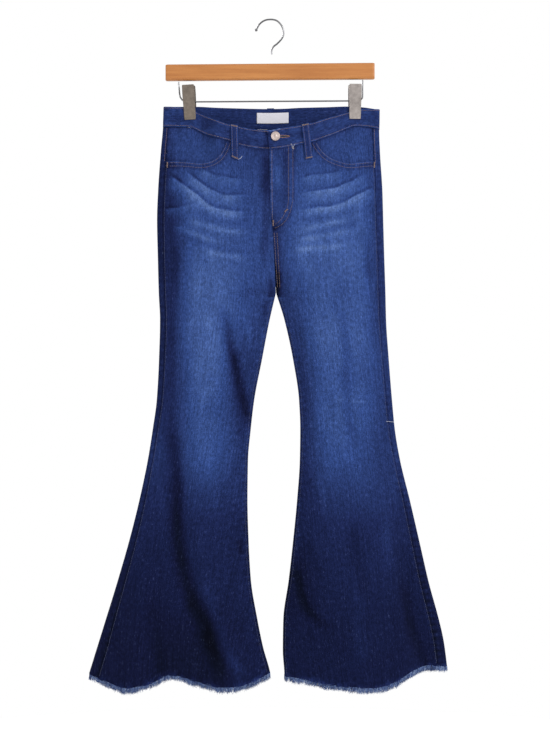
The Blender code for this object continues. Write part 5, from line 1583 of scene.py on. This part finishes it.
def buttonhole():
    """A keyhole buttonhole: a slit with threads set round it, tapering to its far end."""
    hole = Stitches("buttonhole_thread", RUST_THREAD)
    n = 46
    centre, z0, reach = 25.0, -218.2, 11.0
    starts, ends, ups = [], [], []
    for k in range(n):
        a = 2 * math.pi * k / n
        squeeze = 1.0 - 0.35 * (math.cos(a) + 1) / 2
        for r, store in ((0.62, starts), (1.0, ends)):
            x = centre + reach * math.cos(a) * (0.86 + 0.14 * r)
            z = z0 + 3.0 * squeeze * math.sin(a) * r
            store.append((x, z))

    def to_band(pairs, lift):
        pts = np.array(pairs)
        drop = drop_at(1, 1, pts[:, 0], pts[:, 1])
        sigma = sigma_at(1, 1, pts[:, 0], drop)
        return lifted(1, sigma, drop, np.full(sigma.shape, lift)), normals(1, sigma, drop)

    a, up = to_band(starts, 0.95)
    b, _ = to_band(ends, 0.85)
    hole.add(a, b, up, 0.56)
    return hole.make()


def buttonhole_slit():
    """The slit itself, a thin lens on the band painted dark as the shade inside the opening."""
    xs = np.linspace(14.5, 35.5, 16)
    points, faces = [], []
    for x in xs:
        half = 1.0 * math.sin(math.pi * min(max((x - 13.5) / 23.0, 0.02), 1)) ** 0.7
        for z in (-218.2 + half, -218.2 - half):
            drop = float(drop_at(1, 1, np.float64(x), np.float64(z)))
            sigma = sigma_at(1, 1, np.float64(x), drop)
            points.append(moved(1, sigma, drop, np.float64(-0.86)))
    for i in range(len(xs) - 1):
        faces.append((2 * i, 2 * i + 1, 2 * i + 3, 2 * i + 2))
    return smooth_mesh("buttonhole_slit", points, faces, (SLIT_SHADE,))


# ---- Small pieces --------------------------------------------------------------
def turned(profile, steps, place):
    points = [(0.0, 0.0, profile[0][1])]
    faces = []
    for r, h in profile[1:-1]:
        for k in range(steps):
            a = 2 * math.pi * k / steps
            points.append((r * math.cos(a), r * math.sin(a), h))
    points.append((0.0, 0.0, profile[-1][1]))
    last = len(points) - 1
    rings = len(profile) - 2
    for k in range(steps):
        n = (k + 1) % steps
        faces.append((0, 1 + n, 1 + k))
        for i in range(rings - 1):
            a, b = 1 + i * steps + k, 1 + i * steps + n
            faces.append((a, b, b + steps, a + steps))
        a, b = 1 + (rings - 1) * steps + k, 1 + (rings - 1) * steps + n
        faces.append((a, b, last))
    return np.array([tuple(place @ Vector(p)) for p in points]), faces


def fine_button():
    """The shank button with its rim ring, a recess and a domed middle."""
    drop = float(drop_at(1, 1, np.float64(10.2), np.float64(-218.0)))
    s = sigma_at(1, 1, np.float64(10.2), drop)
    base = Vector(moved(1, s, drop, np.float64(-0.5 - SEAM_GAP)))
    n = Vector(normals(1, s, drop))
    place = Matrix.Translation(base) @ n.to_track_quat("Z", "Y").to_matrix().to_4x4()
    profile = (
        (0, 0), (7.2, 0.0), (8.0, 0.4), (8.45, 1.2), (8.5, 1.9), (8.2, 2.6), (7.7, 2.95),
        (7.2, 2.9), (6.8, 2.55), (6.5, 2.1), (6.1, 2.0), (5.8, 2.25), (5.4, 2.35),
        (5.0, 2.1), (3.4, 2.15), (2.6, 2.5), (1.4, 2.75), (0, 2.8),
    )  # fmt: skip
    points, faces = turned(profile, 48, place)
    obj = smooth_mesh("waist_button", points, faces, (BUTTON,))
    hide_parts("button")
    return obj


def label_piece():
    """The blank label, sewn inside the back of the band."""
    rows, cols = 14, 40
    xs = np.linspace(-24.5, 34.4, cols)
    base = BAND_CLOTH - 0.5 + SEAM_GAP
    grids = []
    for lift in (base + 0.75, base + 0.1):
        grid = []
        for level in np.linspace(167.2, 186.8, rows):
            line = []
            for x in xs:
                here = -1 if x < 1 else 1
                s = sigma_at(here, -1, np.float64(x), level)
                wave = 0.12 * math.sin(x / 5.0) * math.cos(level / 4.0)
                line.append(moved(here, s, level, np.float64(lift + wave)))
            grid.append(line)
        grids.append(np.array(grid))
    outer, inner = grids
    count = rows * cols
    points = np.concatenate([outer.reshape(-1, 3), inner.reshape(-1, 3)])
    faces = [tuple(f) for f in grid_faces(rows, cols)] + [tuple(f) for f in grid_faces(rows, cols, flip=True, start=count)]
    ids = (
        [j for j in range(cols)] + [i * cols + cols - 1 for i in range(1, rows)]
        + [(rows - 1) * cols + j for j in range(cols - 2, -1, -1)] + [i * cols for i in range(rows - 2, 0, -1)]
    )
    for a, b in zip(ids, ids[1:] + ids[:1]):
        faces.append((b, a, a + count, b + count))
    uv = np.tile(np.stack(np.meshgrid(xs * MM, np.linspace(0, 0.02, rows)), -1).reshape(-1, 2), (2, 1))
    obj = smooth_mesh("label_cloth", points, faces, (LABEL,), None, uv)
    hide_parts("label")
    return obj


def fringe_piece(side):
    """The frayed hem: loose warp threads all round, some crossed, over a short ragged edge."""
    name = "fringe_right" if side < 0 else "fringe_left"
    rng = np.random.default_rng(11 + side)
    n = 6200
    sigma = rng.uniform(-1, 1, n)
    # Even spacing along the cloth, not along the fold coordinate.
    around = np.linspace(-1, 1, 900)
    line = surface(side, around, np.full(around.shape, float(HEM)))
    reach = np.concatenate([[0], np.cumsum(np.linalg.norm(np.diff(line, axis=0), axis=1))])
    place = rng.uniform(0, reach[-1], n)
    sigma = np.interp(place, reach, around)
    clump = value_noise(place / 6.0, place * 0, 5)
    length = np.clip(8.8 + 2.0 * clump + rng.normal(0, 1.6, n), 3.5, 13.5)
    radius = rng.uniform(0.20, 0.42, n)
    slant = rng.normal(0, 0.20, n) + 0.22 * value_noise(place / 9.0, place * 0, 8)
    curl = rng.normal(0, 0.30, n)
    depth = rng.uniform(0.0, 1.1, n)
    root = lifted(side, sigma, np.full(n, HEM - 1.6), np.full(n, -1.0) * depth)
    out = normals(side, sigma, np.full(n, float(HEM)))
    tangent = surface(side, np.clip(sigma + 0.004, -1, 1), np.full(n, float(HEM))) - surface(
        side, np.clip(sigma - 0.004, -1, 1), np.full(n, float(HEM))
    )
    tangent /= np.maximum(np.linalg.norm(tangent, axis=1, keepdims=True), 1e-6)
    down = np.array([0, 0, -1.0])
    rings = []
    for t in (0, 0.5, 1.0):
        middle = (
            root
            + down * (length * t)[:, None]
            + tangent * (length * (slant * t + curl * t * t * 0.5))[:, None]
            + out * (length * 0.10 * np.sin(3 * t + curl * 9))[:, None] * t
        )
        size = radius * (1 if t < 0.9 else 0.35)
        rings.append([middle + tangent * (size * c)[:, None] + out * (size * s)[:, None] for c, s in ((1, 0), (-0.5, 0.87), (-0.5, -0.87))])
    points = np.array(rings).transpose(2, 0, 1, 3).reshape(-1, 3)
    base = []
    for i in range(3):
        for k in range(3):
            a, b = i * 3 + k, i * 3 + (k + 1) % 3
            base.append((a, b, b + 3, a + 3))
    short = [f for f in base if max(f) < 9]
    faces = (np.array(short)[None] + (np.arange(n) * 9)[:, None, None]).reshape(-1, 4)
    pale = rng.uniform(0, 1, n)
    tone = np.where(pale > 0.62, rng.uniform(1.4, 2.05, n), rng.uniform(0.55, 1.35, n))
    tone = tone + 0.5 * value_noise(place / 2.4, place * 0, 4)
    colour = np.repeat(shade(tone), 9, axis=0)
    # Loose weft threads lying along the edge.
    m = 260
    place2 = rng.uniform(0, reach[-1] - 22, m)
    long2 = rng.uniform(6, 22, m)
    drop2 = rng.uniform(HEM - 1.0, HEM + 6.5, m)
    rings2 = []
    for t in (0, 0.33, 0.66, 1.0):
        sg = np.interp(place2 + long2 * t, reach, around)
        dp = drop2 + 1.6 * np.sin(t * 5 + place2)
        middle = lifted(side, sg, dp, 0.15 + 0.3 * np.sin(place2))
        up = normals(side, sg, dp)
        rings2.append([middle + up * 0.2 * c + down * 0.2 * s for c, s in ((1, 0), (-0.5, 0.87), (-0.5, -0.87))])
    points2 = np.array(rings2).transpose(2, 0, 1, 3).reshape(-1, 3)
    faces2 = (np.array(base)[None] + (np.arange(m) * 12)[:, None, None]).reshape(-1, 4) + len(points)
    colour2 = np.repeat(shade(rng.uniform(0.9, 1.9, m)), 12, axis=0)
    obj = smooth_mesh(
        name + "_threads", np.concatenate([points, points2]), np.concatenate([faces, faces2]),
        (FRINGE_MATERIAL,), np.concatenate([colour, colour2]),
    )  # fmt: skip
    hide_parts(name)
    return obj


# ---- Putting it together -------------------------------------------------------
DENIM = denim_material("washed_denim")
DENIM_INSIDE = denim_material("denim_wrong_side", inside=True)
TAN_THREAD = thread_material("tan_thread", screen(136, 110, 102))
BROWN_THREAD = thread_material("brown_thread", screen(116, 94, 94))
NAVY_THREAD = thread_material("navy_thread", screen(58, 68, 108))
PALE_THREAD = thread_material("pale_thread", screen(206, 212, 232), 0.1)
RUST_THREAD = thread_material("rust_thread", screen(214, 156, 118), 0.2)
LABEL = thread_material("label_satin", screen(218, 217, 226), 0.05)
# The slit's material is painted shade, for the dark inside of the buttonhole's opening.
SLIT_SHADE = thread_material("slit_painted_shade", screen(12, 14, 28), 0.1)
FRINGE_MATERIAL = fringe_material()
WOOD = wood_material()
CHROME = metal_material("hanger_chrome", (0.125, 0.125, 0.13), 0.36, 0.25)
# The wearer's right clip is the same pewter as the left, painted darker as shade, for it hangs on the side away from
# the key light.
PEWTER_RIGHT_SHADED = metal_material("clip_pewter_painted_shade", (0.165, 0.138, 0.115), 0.42, 0.36)
PEWTER_LEFT = metal_material("clip_pewter", (0.29, 0.26, 0.245), 0.38, 0.34)
BUTTON = metal_material("button_nickel", (0.42, 0.35, 0.33), 0.58, 0.25)

for side in (-1, 1):
    word = "right" if side < 0 else "left"
    front = front_shell(side)
    back = back_shell(side)
    yoke = yoke_shell(side)
    facing = facing_shell(side)
    pocket = back_pocket_shell(side)
    fringe = fringe_piece(side)
band = band_shell()
loops = [loop_shell(row) for row in LOOPS]
tape = plain_shell("zip_tape", 1, 1, np.linspace(3, 27, 12), 199.0, 352.0, 1.6, 0.8, 60, -0.35)
shield = plain_shell("fly_shield", 1, 1, np.linspace(2, 42, 16), 199.0, 362.0, 2.9, 1.1, 60, -0.05)
label = label_piece()
button = fine_button()
for piece in (*sew(), buttonhole(), buttonhole_slit(), loose_threads()):
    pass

for node, material in (
    ("hanger_bar", WOOD), ("hanger_hook", CHROME), ("hook_tip", CHROME), ("hanger_rod", CHROME),
    ("clip_right_front", PEWTER_RIGHT_SHADED), ("clip_right_back", PEWTER_RIGHT_SHADED), ("clip_right_sleeve", PEWTER_RIGHT_SHADED),
    ("clip_left_front", PEWTER_LEFT), ("clip_left_back", PEWTER_LEFT), ("clip_left_sleeve", PEWTER_LEFT),
):  # fmt: skip
    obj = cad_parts[node]
    obj.data.materials.clear()
    obj.data.materials.append(material)

# ---- Stage, light and camera ---------------------------------------------------
scene = bpy.context.scene
floor = bpy.data.meshes.new("floor")
floor.from_pydata([(2.4 * math.cos(a), 2.4 * math.sin(a), -1.78) for a in np.linspace(0, 2 * np.pi, 65)[:-1]], [], [tuple(range(64))])
floor_object = bpy.data.objects.new("studio_floor", floor)
scene.collection.objects.link(floor_object)
pale, nodes, links, shader = new_material("studio_white")
shader.inputs["Base Color"].default_value = (0.86, 0.86, 0.86, 1)
shader.inputs["Roughness"].default_value = 0.9
floor.materials.append(pale)

world = bpy.data.worlds.new("studio")
world.use_nodes = True
world.node_tree.nodes["Background"].inputs["Color"].default_value = (1, 1, 1, 1)
world.node_tree.nodes["Background"].inputs["Strength"].default_value = 1.0
scene.world = world


def area_light(name, place, target, size, power):
    light = bpy.data.lights.new(name, "AREA")
    light.shape = "DISK"
    light.size = size
    light.energy = power
    obj = bpy.data.objects.new(name, light)
    obj.location = place
    obj.rotation_euler = (Vector(target) - Vector(place)).to_track_quat("-Z", "Y").to_euler()
    scene.collection.objects.link(obj)
    return obj


area_light("key", (2.1, -2.3, 0.9), (0, 0, -0.6), 1.7, 100)
area_light("back_key", (-1.8, 2.6, 0.9), (0, 0, -0.6), 1.7, 80)
area_light("low_fill", (-1.6, -2.6, -1.2), (0, 0, -0.7), 1.4, 12)

camera_data = bpy.data.cameras.new("camera")
camera_data.sensor_width = 36
camera_data.lens = 79.64
camera_data.clip_start = 0.1
camera_data.clip_end = 50
camera = bpy.data.objects.new("camera", camera_data)
camera.location = (0.00925, -3.0, -0.6405)
camera.rotation_euler = (math.pi / 2, 0, 0)
scene.collection.objects.link(camera)
scene.camera = camera
scene.view_settings.view_transform = "Standard"
scene.view_settings.look = "None"
